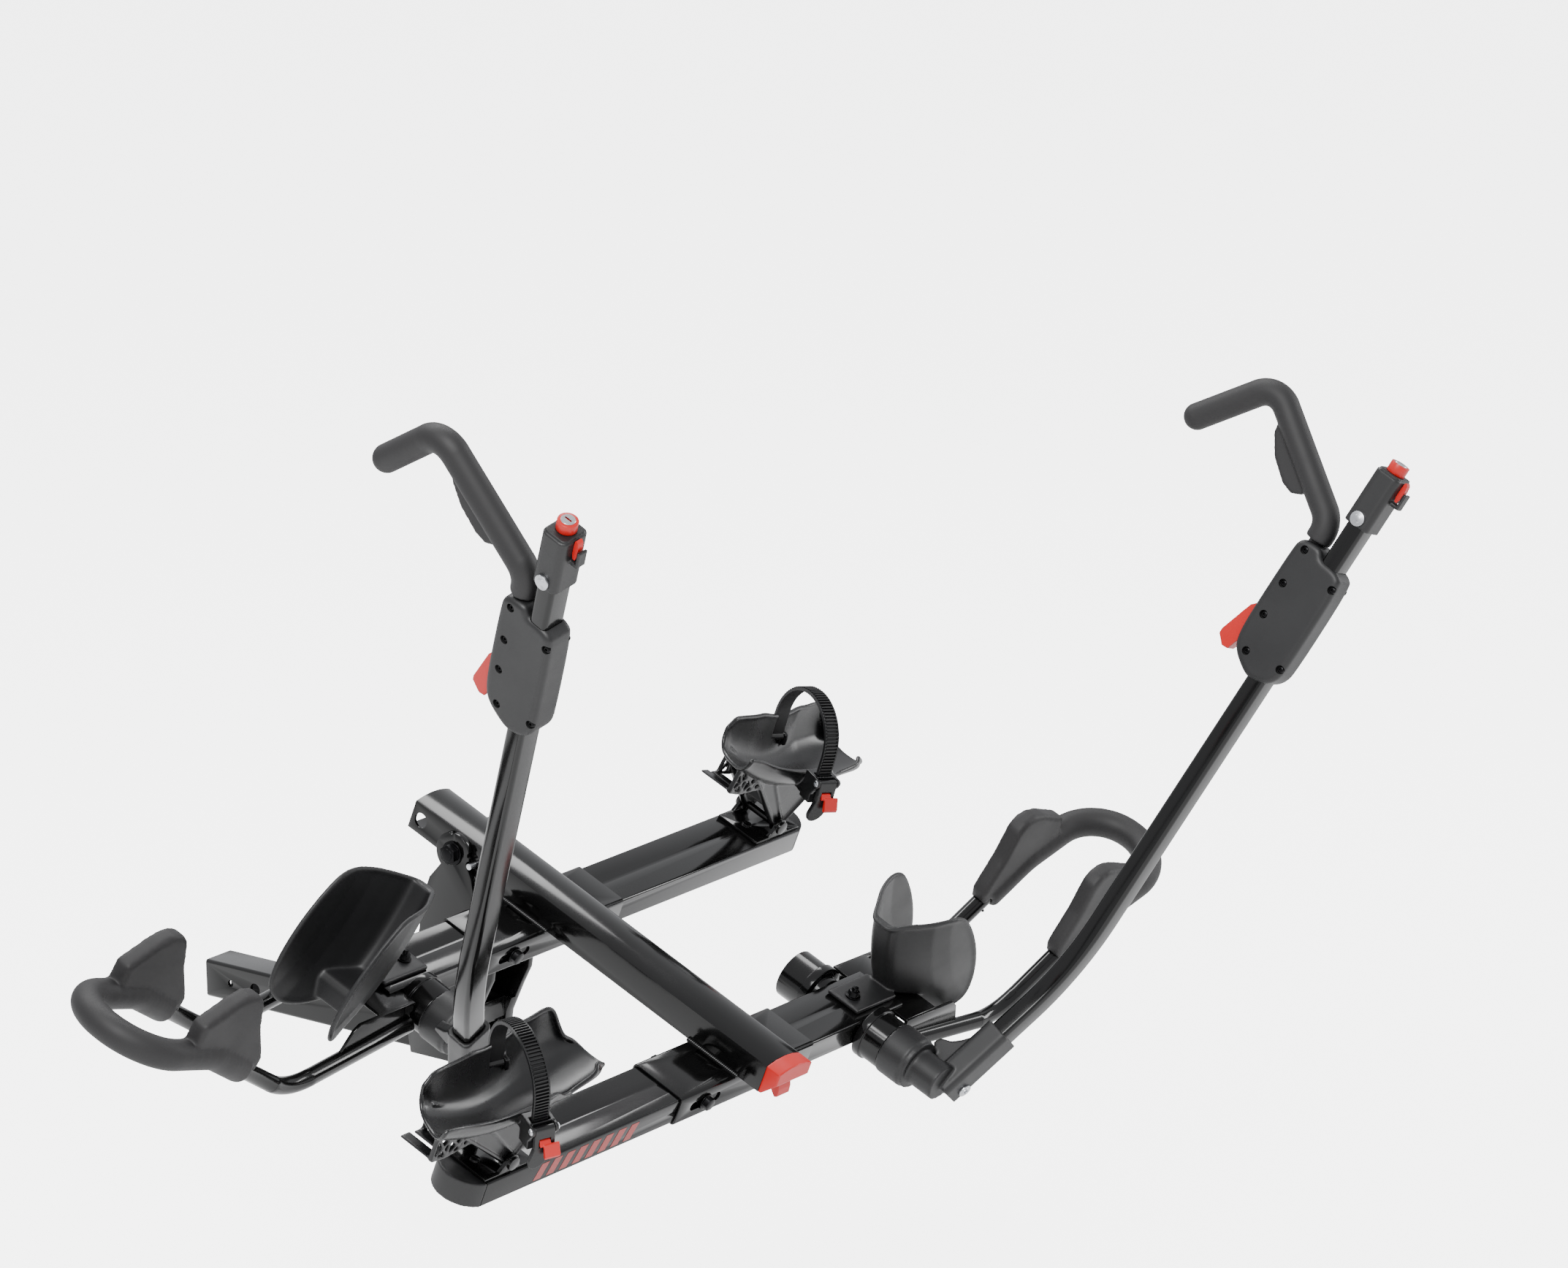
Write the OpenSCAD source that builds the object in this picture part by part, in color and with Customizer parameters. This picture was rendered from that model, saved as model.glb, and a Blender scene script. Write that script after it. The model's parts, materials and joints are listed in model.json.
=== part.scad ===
// Two-bike hitch rack: a level stinger for the receiver, a tilting spine, two sliding trays.
// Each tray carries a front saddle and hoop, a swivelling rear scoop with a ratchet strap,
// and a swinging arm with a sliding hook.  Millimetres, +Z up, origin at the hitch-pin hole.

/* [Stinger] */
// Outer width of the square stinger tube
stinger_w = 50.8; // [44:0.1:60]
// Wall of the stinger tube
stinger_wall = 4.8; // [3:0.1:8]
// Corner radius of the stinger tube
stinger_corner = 4.5; // [3:0.1:7]
// Length from the pin hole to the receiver end
stinger_in = 85.5; // [70:0.5:130]
// Length from the pin hole to the outboard end
stinger_out = 376; // [350:1:400]
// Radius of the hitch-pin hole
pin_hole_r = 8.2; // [6:0.1:10]
// Radius of the small anti-rattle hole
rattle_hole_r = 4.5; // [2:0.1:7]
// Distance between the two holes
rattle_hole_gap = 43; // [30:1:60]

/* [Tilt joint] */
// Distance of the tilt pivot outboard of the pin hole
pivot_out = 362; // [350:1:380]
// Height of the tilt pivot above the stinger axis
pivot_up = 255; // [240:1:300]
// Droop of the rack in its lowered position, in degrees
droop = 23.5; // [18:0.5:26]
// Radius of the rounded ear tops
ear_r = 27; // [24:0.5:30]
// Thickness of each ear plate
ear_t = 8; // [5:0.5:10]
// Gap between an ear and the spine
ear_gap = 0.5; // [0.3:0.1:1]
// Radius of the pivot bolt
pivot_bolt_r = 8; // [6:0.1:9]
// Radius of the latch cross pin
latch_pin_r = 4; // [3:0.1:4.5]
// Radial clearance of a running fit
run_fit = 0.06; // [0.02:0.01:0.1]

/* [Spine] */
// Width of the spine tube
spine_w = 64; // [58:1:70]
// Height of the spine's flat sides
spine_h = 39; // [36:0.5:50]
// Rise of the spine's domed top
spine_dome = 6; // [3:0.5:9]
// Wall of the spine tube
spine_wall = 3.5; // [2.5:0.1:5]
// Length of the spine inboard of the pivot
spine_in = 82; // [70:1:90]
// Length of the spine outboard of the pivot
spine_out = 525; // [515:1:620]
// Depth of the pivot axis above the spine's underside
pivot_rise = 14.7; // [12:0.1:20]

/* [Sleeves] */
// Length of each tray sleeve
sleeve_len = 260; // [230:1:300]
// Offset of the sleeves towards the left
sleeve_off = 8; // [0:1:20]
// Plate thickness of the sleeves
sleeve_t = 3; // [2:0.1:4]
// Length of the clamp slot
slot_len = 58; // [45:1:70]
// Width of the clamp slot
slot_w = 12.5; // [11.5:0.1:15]
// Distance of the clamp bolt left of the spine centre
clamp_x = 85; // [70:1:95]
// Radius of the clamp bolt
clamp_r = 5; // [4:0.1:5.5]

/* [Trays] */
// Width of the tray tube
tray_w = 76; // [70:0.5:84]
// Height of the tray tube
tray_h = 35; // [32:0.5:42]
// Wall of the tray tube
tray_wall = 2.5; // [2:0.1:3.5]
// Length of a tray from the spine centre to its strap end
tray_back = 497.5; // [480:0.5:600]
// Length of a tray from the spine centre to its arm end
tray_front = 310; // [305:0.5:330]
// Distance from the tilt pivot to the near tray's centre line
near_tray_y = 450; // [440:1:460]
// Distance between the two trays
tray_pitch = 328; // [320:1:335]
// Sideways shift of the far tray in its sleeve
far_shift = 12; // [0:1:16]
// Bulge of the moulded tray end cap
cap_bulge = 30; // [20:1:40]

/* [Hoop] */
// Outer radius of the hoop tube
hoop_r = 11; // [9:0.5:12]
// Wall of the hoop tube
hoop_wall = 2; // [1.5:0.1:3]
// Half distance between the hoop's legs
hoop_half = 65; // [63:0.5:75]
// First bend of the hoop, out from the spine centre
hoop_bend_x = 503; // [490:1:520]
// Depth of the first bend below the tray top
hoop_bend_z = 65; // [60:1:75]
// Steep climb of the hoop, in degrees
hoop_climb = 33.5; // [28:0.5:38]
// Length of the steep part
hoop_leg = 205; // [195:1:230]
// Slope of the loop, in degrees
hoop_slope = 17.5; // [12:0.5:22]
// Length of the loop to its round end
hoop_loop = 73; // [60:1:100]
// Outer radius of the loop's moulded cover
cover_r = 17; // [15:0.5:19]

/* [Front saddle] */
// Radius of the wheel that the saddle and scoop fit
wheel_r = 345; // [330:1:360]
// Half width of the saddle at its rim
saddle_half = 57; // [50:0.5:58]
// Shell thickness of the saddle and scoop
shell_t = 5; // [4:0.1:6]

/* [Arm] */
// Distance of the arm's pivot from the spine centre
arm_x = 254; // [245:1:262]
// Depth of the arm's pivot below the tray top
arm_z = 24; // [22:0.5:28]
// Radius of the arm's pivot shaft
arm_shaft_r = 18; // [14:0.1:18]
// Radius of the gloss pivot cans
can_r = 33; // [30:0.5:34]
// Width of the arm tube across the tray
arm_w = 34; // [30:0.5:36]
// Depth of the arm tube along the spine
arm_d = 26; // [22:0.5:28]
// Corner radius of the arm tube
arm_corner = 6; // [4:0.5:8]
// Wall of the arm tube
arm_wall = 2.5; // [2:0.1:3.5]
// Length of the arm above its bend
arm_len = 735; // [720:1:860]
// Radius of the lock barrel in the arm's cap
lock_r = 12.5; // [11:0.5:13]
// Swing of the far arm towards upright, in degrees
far_swing = 4.4; // [0:0.1:8]

/* [Hook] */
// Distance of the hook's housing above the arm's bend
hook_at = 440; // [400:1:450]
// Half thickness of the hook's housing
housing_half = 20; // [19:0.5:24]
// Radius of the covered hook rod
hook_r = 16; // [14:0.5:17]
// Sliding clearance between housing and arm
slide_gap = 0.4; // [0.3:0.1:0.8]

/* [Rear scoop] */
// Distance of the scoop's pivot from the spine centre
scoop_x = 456; // [440:1:460]
// Height of the scoop's pivot above the tray top
scoop_z = 15; // [14:0.5:20]
// Radius of the scoop's pivot pin
scoop_pin_r = 5; // [4:0.1:6]
// Tilt of the far scoop, in degrees
far_scoop_tilt = 15; // [0:0.5:18]
// Half width inside the scoop
scoop_half = 39; // [36:0.5:42]
// Width of the ratchet strap
strap_w = 21; // [18:0.5:26]
// Thickness of the strap
strap_t = 4; // [3:0.1:5]
// Radius of the strap's arch
strap_r = 60; // [58:0.5:62]

/* [Hidden] */
$fn = 48;
eps = 0.01;
// underside of the spine, which is the top of the sleeves, and the tray's top below the pivot
spine_bot = -pivot_rise;
tray_top = spine_bot - sleeve_t;
ear_x = spine_w / 2 + ear_gap;
latch_y = -(ear_r + latch_pin_r + 0.5);
far_tray_y = near_tray_y - tray_pitch;
sleeve_w = tray_w + 2 * sleeve_t;
sleeve_in_gap = 0.3;
socket_t = 5;
bend_at = [152, -194, 155];
saddle_stud_x = 248;
saddle_c = [595, 205];
hoop_in = 292;
hoop_low_bend = 112;
lever_at = [-4, 16];
lever_pin_r = 2;
nose = 22;
cap_h = 79;
trigger_at = [53, 71];
buckle_z = -30;
strap_at = [-20.6, -13.6, 129];
strap_skew = 21;
strap_lean = 13;
strap_pin_r = 2.5;
anchor_v = -36;
boss_y = -45;
arm_turn_up = 18.7;
arm_lean_up = 3.1;
arm_turn_low = 38;
arm_lean_low = 10.4;
steel = [0.10, 0.10, 0.11];
plastic = [0.17, 0.17, 0.18];
red = [0.80, 0.16, 0.15];
zinc = [0.75, 0.76, 0.78];

// ---------- helpers ----------
module rrect(w, h, r) {
  square([w - 2 * r, h], center = true);
  square([w, h - 2 * r], center = true);
  for (i = [-1, 1], j = [-1, 1]) translate([i * (w / 2 - r), j * (h / 2 - r)]) circle(r);
}
module rtube(w, h, r, t, z0, z1) {
  translate([0, 0, z0]) linear_extrude(z1 - z0) difference() {
    rrect(w, h, r);
    rrect(w - 2 * t, h - 2 * t, max(r - t, 0.6));
  }
}
// cylinder along y from y0 to y1
module yc(y0, y1, r) { translate([0, y1, 0]) rotate([90, 0, 0]) cylinder(h = y1 - y0, r = r); }
// cylinder along x from x0 to x1
module xc(x0, x1, r) { translate([x0, 0, 0]) rotate([0, 90, 0]) cylinder(h = x1 - x0, r = r); }
// plate drawn in x and z, from y0 to y1
module xz(y0, y1) { translate([0, y1, 0]) rotate([90, 0, 0]) linear_extrude(y1 - y0) children(); }
// plate drawn in y and z, from x0 to x1
module yz(x0, x1) { translate([x0, 0, 0]) rotate([90, 0, 90]) linear_extrude(x1 - x0) children(); }
module hexhead(y0, y1, r) { translate([0, y1, 0]) rotate([90, 0, 0]) cylinder(h = y1 - y0, r = r, $fn = 6); }
function unit(v) = v / norm(v);
// round rod along a list of points with a list of bend radii for the inner points, run on past its ends
module rod_path(p, bends, r, past = 0) {
  n = len(p);
  lap = 1.5;
  function dir(i) = unit(p[i + 1] - p[i]);
  function ang(i) = acos(max(-1, min(1, dir(i - 1) * dir(i))));
  function cut(i) = i == 0 || i == n - 1 ? -past : bends[i] * tan(ang(i) / 2) - lap;
  for (i = [0:n - 2]) {
    a = p[i] + dir(i) * cut(i);
    b = p[i + 1] - dir(i) * cut(i + 1);
    d = b - a;
    l = norm(d);
    translate(a) rotate([0, acos(d[2] / l), atan2(d[1], d[0])]) cylinder(h = l, r = r);
  }
  for (i = [1:n - 2]) {
    bend = bends[i];
    a = dir(i - 1);
    b = dir(i);
    c = p[i] + unit(b - a) * bend / cos(ang(i) / 2);
    x = unit(p[i] - a * bend * tan(ang(i) / 2) - c);
    z = cross(x, a);
    multmatrix([[x[0], a[0], z[0], c[0]], [x[1], a[1], z[1], c[1]], [x[2], a[2], z[2], c[2]], [0, 0, 0, 1]])
      rotate_extrude(angle = ang(i)) translate([bend, 0]) circle(r + 0.15);
  }
}

// ---------- frames ----------
module rack() { translate([0, -pivot_out, pivot_up]) rotate([droop, 0, 0]) children(); }
module near_tray() { rack() translate([0, -near_tray_y, tray_top]) children(); }
module far_tray() {
  rack() translate([-far_shift, -far_tray_y, tray_top]) mirror([1, 0, 0]) children();
}
module arm_axis() { translate([arm_x, 0, -arm_z]) children(); }
module arm_low() {
  arm_axis() translate(bend_at) rotate([0, arm_turn_low, 0]) rotate([arm_lean_low, 0, 0]) children();
}
module arm_up() {
  arm_axis() translate(bend_at) rotate([0, arm_turn_up, 0]) rotate([arm_lean_up, 0, 0]) children();
}
module near_arm() { near_tray() children(); }
module far_arm() {
  far_tray() arm_axis() rotate([0, -far_swing, 0]) translate([-arm_x, 0, arm_z]) children();
}
module near_scoop() { near_tray() translate([-scoop_x, 0, scoop_z]) children(); }
module far_scoop() {
  rack() translate([-far_shift + scoop_x, -far_tray_y, tray_top + scoop_z])
    rotate([0, far_scoop_tilt, 0]) children();
}

// ---------- hitch ----------
module stinger_tube() {
  color(steel) difference() {
    translate([0, stinger_in, 0]) rotate([90, 0, 0])
      rtube(stinger_w, stinger_w, stinger_corner, stinger_wall, 0, stinger_in + stinger_out);
    xc(-stinger_w, stinger_w, pin_hole_r);
    translate([0, rattle_hole_gap, 0]) xc(-stinger_w, stinger_w, rattle_hole_r);
  }
}
module riser_profile() {
  py = -pivot_out;
  h = stinger_w / 2;
  polygon(concat(
    [for (a = [-40:9:212]) [py + ear_r * cos(a), pivot_up + ear_r * sin(a)]],
    [[py - 29, pivot_up - 30], [py - 34, pivot_up - 62], [py - 47, pivot_up - 88],
     [py - 58, pivot_up - 115], [py - 61, pivot_up - 138], [py - 57, pivot_up - 160],
     [py - 44, h + 46], [py - 24, h + 6], [-stinger_out, -h],
     [-stinger_out + 96, -h], [py + 90, h + 8], [py + 74, h + 60], [py + 60, pivot_up - 110],
     [py + 54, pivot_up - 70], [py + 40, pivot_up - 38]]));
}
module riser() {
  h = stinger_w / 2;
  color(steel) difference() {
    union() {
      for (s = [0, 1]) mirror([s, 0, 0]) {
        yz(ear_x, ear_x + ear_t) riser_profile();
        // doubler that closes the gap between the plate and the stinger
        yz(h, ear_x) intersection() {
          riser_profile();
          translate([-pivot_out - 80, -h]) square([200, 2 * h + 26]);
        }
      }
      // cross web between the plates, clear of the spine's end
      translate([-h, -pivot_out - 20, h]) cube([2 * h, 66, 26]);
      translate([-ear_x, -pivot_out + 34, h + 24]) cube([2 * ear_x, 8, 74]);
    }
    translate([0, -pivot_out, pivot_up]) xc(-60, 60, pivot_bolt_r + 0.2);
    // notches that the latch pin drops into, for lowered, level and stowed
    translate([0, -pivot_out, pivot_up]) for (a = [droop, 0, -90])
      rotate([a, 0, 0]) translate([0, -ear_r - 1.5, 0]) xc(-60, 60, latch_pin_r + 0.4);
  }
}
module pivot_bolt() {
  x = ear_x + ear_t;
  color(zinc) translate([0, -pivot_out, pivot_up]) {
    xc(-x - 12, x + 12, pivot_bolt_r);
    for (s = [0, 1]) mirror([s, 0, 0]) difference() {
      union() {
        xc(x, x + 2.5, 15.5);
        translate([x + 2.5, 0, 0]) rotate([0, 90, 0]) cylinder(h = 8.5, r = 13, $fn = 6);
      }
      xc(x - 1, x + 12, pivot_bolt_r);
    }
  }
}

// ---------- spine ----------
module spine_outline(g) {
  w = spine_w / 2 - g;
  top = spine_bot + spine_h - g * 0.5;
  rise = spine_dome;
  dome_r = (w * w + rise * rise) / (2 * rise);
  translate([-w, spine_bot + g]) square([2 * w, top - spine_bot - g]);
  intersection() {
    translate([0, top + rise - dome_r]) circle(dome_r, $fn = 180);
    translate([-w, top - eps]) square([2 * w, rise + 1]);
  }
}
module spine_tube() {
  color(steel) rack() difference() {
    translate([0, spine_in, 0]) rotate([90, 0, 0]) linear_extrude(spine_in + spine_out) difference() {
      spine_outline(0);
      spine_outline(spine_wall);
    }
    xc(-spine_w, spine_w, pivot_bolt_r + run_fit);
    // large hole near the inboard end and slots for the latch pin
    translate([0, 66, 4]) xc(-spine_w, spine_w, 10);
    for (y = [latch_y - 11:2.2:latch_y]) translate([0, y, 0]) xc(-spine_w, spine_w, latch_pin_r + 0.4);
  }
}
module sleeve_body(y) {
  x0 = -sleeve_len / 2 - sleeve_off;
  h = tray_h + 2 * sleeve_t;
  mid = -tray_h / 2 + tray_top;
  color(steel) rack() difference() {
    translate([x0, -y, mid]) rotate([90, 0, 90]) linear_extrude(sleeve_len) difference() {
      rrect(sleeve_w, h, 5);
      rrect(tray_w + 2 * sleeve_in_gap, tray_h + 2 * sleeve_in_gap, 2.5);
    }
    // clamp slot in both walls
    for (i = [-1, 1]) translate([-clamp_x + i * (slot_len - slot_w) / 2, -y, mid])
      yc(-sleeve_w, sleeve_w, slot_w / 2);
    translate([-clamp_x - (slot_len - slot_w) / 2, -y - sleeve_w, mid - slot_w / 2])
      cube([slot_len - slot_w, 2 * sleeve_w, slot_w]);
    // arched openings in the top beside the spine
    for (s = [-1, 1]) translate([s * (spine_w / 2 + 0.5), -y, tray_top - 1]) intersection() {
      translate([0, 0, 0]) cylinder(h = sleeve_t + 3, r = 22);
      translate([s > 0 ? 0 : -30, -30, 0]) cube([30, 60, 10]);
    }
  }
}
module near_sleeve() { sleeve_body(near_tray_y); }
module far_sleeve() { sleeve_body(far_tray_y); }
module spine_end_cap() {
  inset = 0.3;
  y0 = -spine_out;
  color(red) rack() {
    difference() {
      union() {
        translate([0, y0, 0]) rotate([90, 0, 0]) linear_extrude(nose) spine_outline(0);
        translate([0, y0 + 24, 0]) rotate([90, 0, 0]) linear_extrude(24) spine_outline(spine_wall + inset);
      }
      // underside of the nose, cut back to the tube's lower edge
      translate([0, y0, spine_bot]) yz(-spine_w, spine_w)
        polygon([[-4, 0], [-nose, nose], [-nose - 1, nose], [-nose - 1, -1], [-4, -1]]);
      // pocket for the lever and passage for the rod
      translate([-13, y0 - 16, spine_bot - 1]) cube([26, 28, 24]);
      translate([0, y0 + 11, 0]) yc(0, 20, 4);
    }
    translate([0, y0 + lever_at[0], spine_bot + lever_at[1]]) xc(-14, 14, lever_pin_r);
  }
}
module tilt_lever() {
  color(red) rack() translate([0, -spine_out, spine_bot]) difference() {
    yz(-12.4, 12.4) polygon([[0, 20], [-6, 21], [-12, 16], [-16, 6], [-17, -4], [-13, -6], [-8, -2],
      [1, 8], [2, 15]]);
    translate([0, lever_at[0], lever_at[1]]) xc(-14, 14, lever_pin_r + run_fit);
  }
}
module latch_rod() {
  color(zinc) rack() {
    translate([0, latch_y, 0]) xc(-ear_x - ear_t - 3, ear_x + ear_t + 3, latch_pin_r);
    yc(-spine_out + 14, latch_y - latch_pin_r + 1, 3);
  }
}

// ---------- tray pieces, drawn for the near tray ----------
module tray_tube(cx) {
  color(steel) difference() {
    translate([-tray_back, 0, -tray_h / 2]) rotate([90, 0, 90])
      linear_extrude(tray_back + tray_front) difference() {
        rrect(tray_w, tray_h, 3);
        rrect(tray_w - 2 * tray_wall, tray_h - 2 * tray_wall, 1);
      }
    translate([arm_x, 0, -arm_z]) yc(-tray_w, tray_w, arm_shaft_r + 3.4);
    translate([cx, 0, -tray_h / 2]) yc(-tray_w, tray_w, clamp_r);
    translate([saddle_stud_x, 0, -tray_wall - 1]) cylinder(h = tray_wall + 2, r = 4);
    for (i = [-1, 1]) translate([-scoop_x + i * 26, 0, -tray_wall - 1]) cylinder(h = tray_wall + 2, r = 3);
  }
}
module tray_cap() {
  r = (tray_w * tray_w / 4 + cap_bulge * cap_bulge) / (2 * cap_bulge);
  color(plastic) union() {
    intersection() {
      translate([-tray_back - cap_bulge + r, 0, -tray_h + 0.5]) cylinder(h = tray_h - 1, r = r, $fn = 120);
      translate([-tray_back - cap_bulge - 1, -tray_w / 2, -tray_h]) cube([cap_bulge + 1, tray_w, tray_h + 1]);
    }
    difference() {
      translate([-tray_back, 0, -tray_h / 2]) rotate([90, 0, 90]) linear_extrude(11)
        rrect(tray_w - 2 * tray_wall - 0.4, tray_h - 2 * tray_wall - 0.4, 1);
      translate([-tray_back, 0, -tray_h / 2]) rotate([90, 0, 90]) linear_extrude(12)
        rrect(tray_w - 2 * tray_wall - 6, tray_h - 2 * tray_wall - 6, 1);
    }
  }
}
module clamp_bolt(x, y) {
  // threaded through the tray, with its head and washer outside the near wall's slot
  g = sleeve_w / 2;
  color(zinc) rack() translate([x, -y, tray_top - tray_h / 2]) {
    yc(-g - 3, g + 3, clamp_r);
    for (s = [0, 1]) mirror([0, s, 0]) difference() {
      union() {
        yc(-g - 2.3, -g - 0.3, 11);
        hexhead(-g - 9, -g - 2.3, 9);
      }
      yc(-g - 3, -g, clamp_r);
    }
  }
}
function hoop_pts() = let (
    p1 = [hoop_bend_x, -hoop_bend_z],
    p2 = p1 + hoop_leg * [cos(hoop_climb), sin(hoop_climb)],
    p3 = p2 + (hoop_loop + hoop_half) * [cos(hoop_slope), sin(hoop_slope)])
  [[hoop_in, -hoop_half, -hoop_bend_z + (hoop_bend_x - hoop_in) * 0.142],
   [p1[0], -hoop_half, p1[1]], [p2[0], -hoop_half, p2[1]], [p3[0], -hoop_half, p3[1]],
   [p3[0], hoop_half, p3[1]], [p2[0], hoop_half, p2[1]], [p1[0], hoop_half, p1[1]],
   [hoop_in, hoop_half, -hoop_bend_z + (hoop_bend_x - hoop_in) * 0.142]];
module hoop_rod(r, past = 0) {
  b = hoop_half - 1.5;
  rod_path(hoop_pts(), [0, hoop_low_bend, b, b, b, b, hoop_low_bend], r, past);
}
module hoop_tube() {
  color(steel) difference() {
    hoop_rod(hoop_r);
    hoop_rod(hoop_r - hoop_wall, 1);
  }
}
module hoop_bracket() {
  w = hoop_half - 1;
  color(steel) difference() {
    union() {
      translate([tray_front, -w + 3, -8]) cube([42, 2 * w - 6, 4.5]);
      for (s = [0, 1]) mirror([0, s, 0]) {
        translate([290, tray_w / 2, -8]) cube([tray_front + 42 - 290, w - tray_w / 2 - 3, 4.5]);
        xz(w - 4.5, w) polygon([[290, -3.5], [388, -6], [398, -14], [412, -44], [290, -30]]);
      }
    }
    hoop_rod(hoop_r + 0.03, 1);
  }
}
module hoop_cover() {
  p = hoop_pts();
  b = hoop_half - 1.5;
  u = [cos(hoop_climb), 0, sin(hoop_climb)];
  a = p[1] + u * 130;
  e = p[6] + u * 130;
  q = [a, p[2], p[3], p[4], p[5], e];
  fin = [[589, 20], [593, 32], [609, 70], [619, 112], [628, 122], [645, 127], [668, 123], [716, 106],
         [722, 80], [690, 52], [600, -8]];
  color(plastic) difference() {
    union() {
      rod_path(q, [0, b, b, b, b], cover_r);
      for (s = [-1, 1]) xz(s * hoop_half - 10, s * hoop_half + 10) polygon(fin);
    }
    hoop_rod(hoop_r + 0.03, 1);
  }
}
// shell of revolution about the wheel's axle, drawn as radius and half width
function u_side(f, g) = [[wheel_r + g, 0], [wheel_r + g, f * 0.24], [wheel_r - 4 + g * 0.7, f * 0.34 + g * 0.1],
  [wheel_r - 22 + g * 0.2, f * 0.57], [wheel_r - 44 + g * 0.2, f * 0.8], [wheel_r - 70 + g * 0.1, f * 0.93],
  [wheel_r - 132, f + g * 0.1]];
module u_ring(f, g, a0, a1) {
  inner = u_side(f, 0);
  outer = u_side(f + g, g);
  n = len(inner) - 1;
  pts = concat(inner, [for (i = [n:-1:0]) outer[i]], [for (i = [1:n]) [outer[i][0], -outer[i][1]]],
    [for (i = [n:-1:1]) [inner[i][0], -inner[i][1]]]);
  rotate([90, 0, 0]) rotate([0, 0, a0]) rotate_extrude(angle = a1 - a0, $fn = 180) polygon(pts);
}
module front_saddle() {
  c = [saddle_c[0], 0, saddle_c[1]];
  color(plastic) difference() {
    union() {
      intersection() {
        translate(c) u_ring(saddle_half - shell_t, shell_t, 186, 240);
        xz(-70, 70) polygon([[300, 0.5], [230, 60], [230, 117], [262, 121], [300, 128], [326, 133],
          [344, 132], [360, 124], [386, 96], [408, 64], [424, 30], [430, 2], [428, -16], [418, -30],
          [404, -37], [380, -38], [357, -32], [354, 0.5]]);
      }
      // foot on the tray
      translate([saddle_stud_x - 20, -26, 0]) cube([tray_front + 20 - saddle_stud_x, 52, 6]);
    }
    translate([saddle_stud_x, 0, -1]) cylinder(h = 8, r = 4.2);
  }
}
module saddle_stud() {
  color(zinc) translate([saddle_stud_x, 0, 0]) {
    translate([0, 0, -tray_wall]) cylinder(h = tray_wall + 20, r = 4);
    difference() {
      union() {
        translate([0, 0, 6]) cylinder(h = 2, r = 10);
        translate([0, 0, 8]) cylinder(h = 7, r = 7.5, $fn = 6);
      }
      translate([0, 0, 5]) cylinder(h = 20, r = 4);
    }
  }
}
module pivot_housing() {
  y = tray_w / 2;
  color(steel) arm_axis() difference() {
    union() {
      yc(-y - 11, -y, can_r + 2.5);
      yc(-y - 39, -y - 11, can_r);
      yc(-y, y, arm_shaft_r + 3.4);
      yc(y, y + 10, can_r - 8);
      yc(y + 10, y + 22, can_r + 2.5);
      yc(y + 22, y + 57, can_r);
    }
    yc(-y - 40, y + 52, arm_shaft_r + run_fit);
  }
}
module scoop_bracket() {
  color(steel) translate([-scoop_x, 0, 0]) difference() {
    union() {
      translate([-44, -34, 0]) cube([88, 68, 4]);
      for (s = [0, 1]) mirror([0, s, 0]) xz(29, 34)
        polygon(concat([[-20, 3]], [for (a = [180:-15:0]) [11 * cos(a), scoop_z + 11 * sin(a)]], [[20, 3]]));
      translate([0, 0, scoop_z]) difference() {
        union() {
          yc(-37, 37, scoop_pin_r);
          for (s = [0, 1]) mirror([0, s, 0]) yc(34, 38, 9);
        }
      }
      for (i = [-1, 1]) translate([i * 26, 0, -tray_wall - 5]) {
        cylinder(h = 13, r = 3);
        translate([0, 0, 9 + tray_wall]) cylinder(h = 3, r = 6);
      }
    }
  }
}

// ---------- arm ----------
module arm_base() {
  y = tray_w / 2;
  color(plastic) difference() {
    union() {
      arm_axis() {
        yc(-y - 75, -y - 39.4, can_r + 2);
        yc(-y - 82, -y - 75, can_r);
        yc(-y - 122, -y - 82, 24);
        yc(-y - 40, y + 50, arm_shaft_r);
      }
      arm_low() {
        translate([0, 0, -224]) linear_extrude(104) rrect(arm_w + 2 * socket_t + 2, arm_d + 2 * socket_t, 8);
        // web from the stub up the socket's inner side
        translate([-7, 0, 0]) rotate([90, 0, 90]) linear_extrude(14) polygon([[10, -216], [52, -192],
          [50, -182], [36, -174], [26, -160], [19, -144], [17, -128], [10, -124]]);
      }
    }
    arm_low() {
      translate([0, 0, -176]) linear_extrude(80) rrect(arm_w, arm_d, arm_corner);
      // through hole for the base bolt
      translate([8, 0, -204]) yc(-60, 30, 5.5);
    }
  }
}
module arm_slice(g) {
  translate([0, 0, -0.25]) linear_extrude(0.5)
    rrect(arm_w - 2 * g + 0.3, arm_d - 2 * g + 0.3, arm_corner - g + 0.15, $fn = 32);
}
module arm_solid(g, past) {
  reach = 45;
  arm_low() translate([0, 0, -175 - past]) linear_extrude(176 - reach + past)
    rrect(arm_w - 2 * g, arm_d - 2 * g, arm_corner - g);
  arm_up() translate([0, 0, reach - 1]) linear_extrude(arm_len + 1 - reach + past)
    rrect(arm_w - 2 * g, arm_d - 2 * g, arm_corner - g);
  hull() {
    arm_low() translate([0, 0, -reach]) arm_slice(g);
    arm_up() translate([0, 0, reach]) arm_slice(g);
  }
}
module arm_tube() {
  color(steel) difference() {
    arm_solid(0, 0);
    arm_solid(arm_wall, 1);
    arm_up() translate([0, 0, arm_len - 53]) xc(-60, 60, 5);
  }
}
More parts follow.
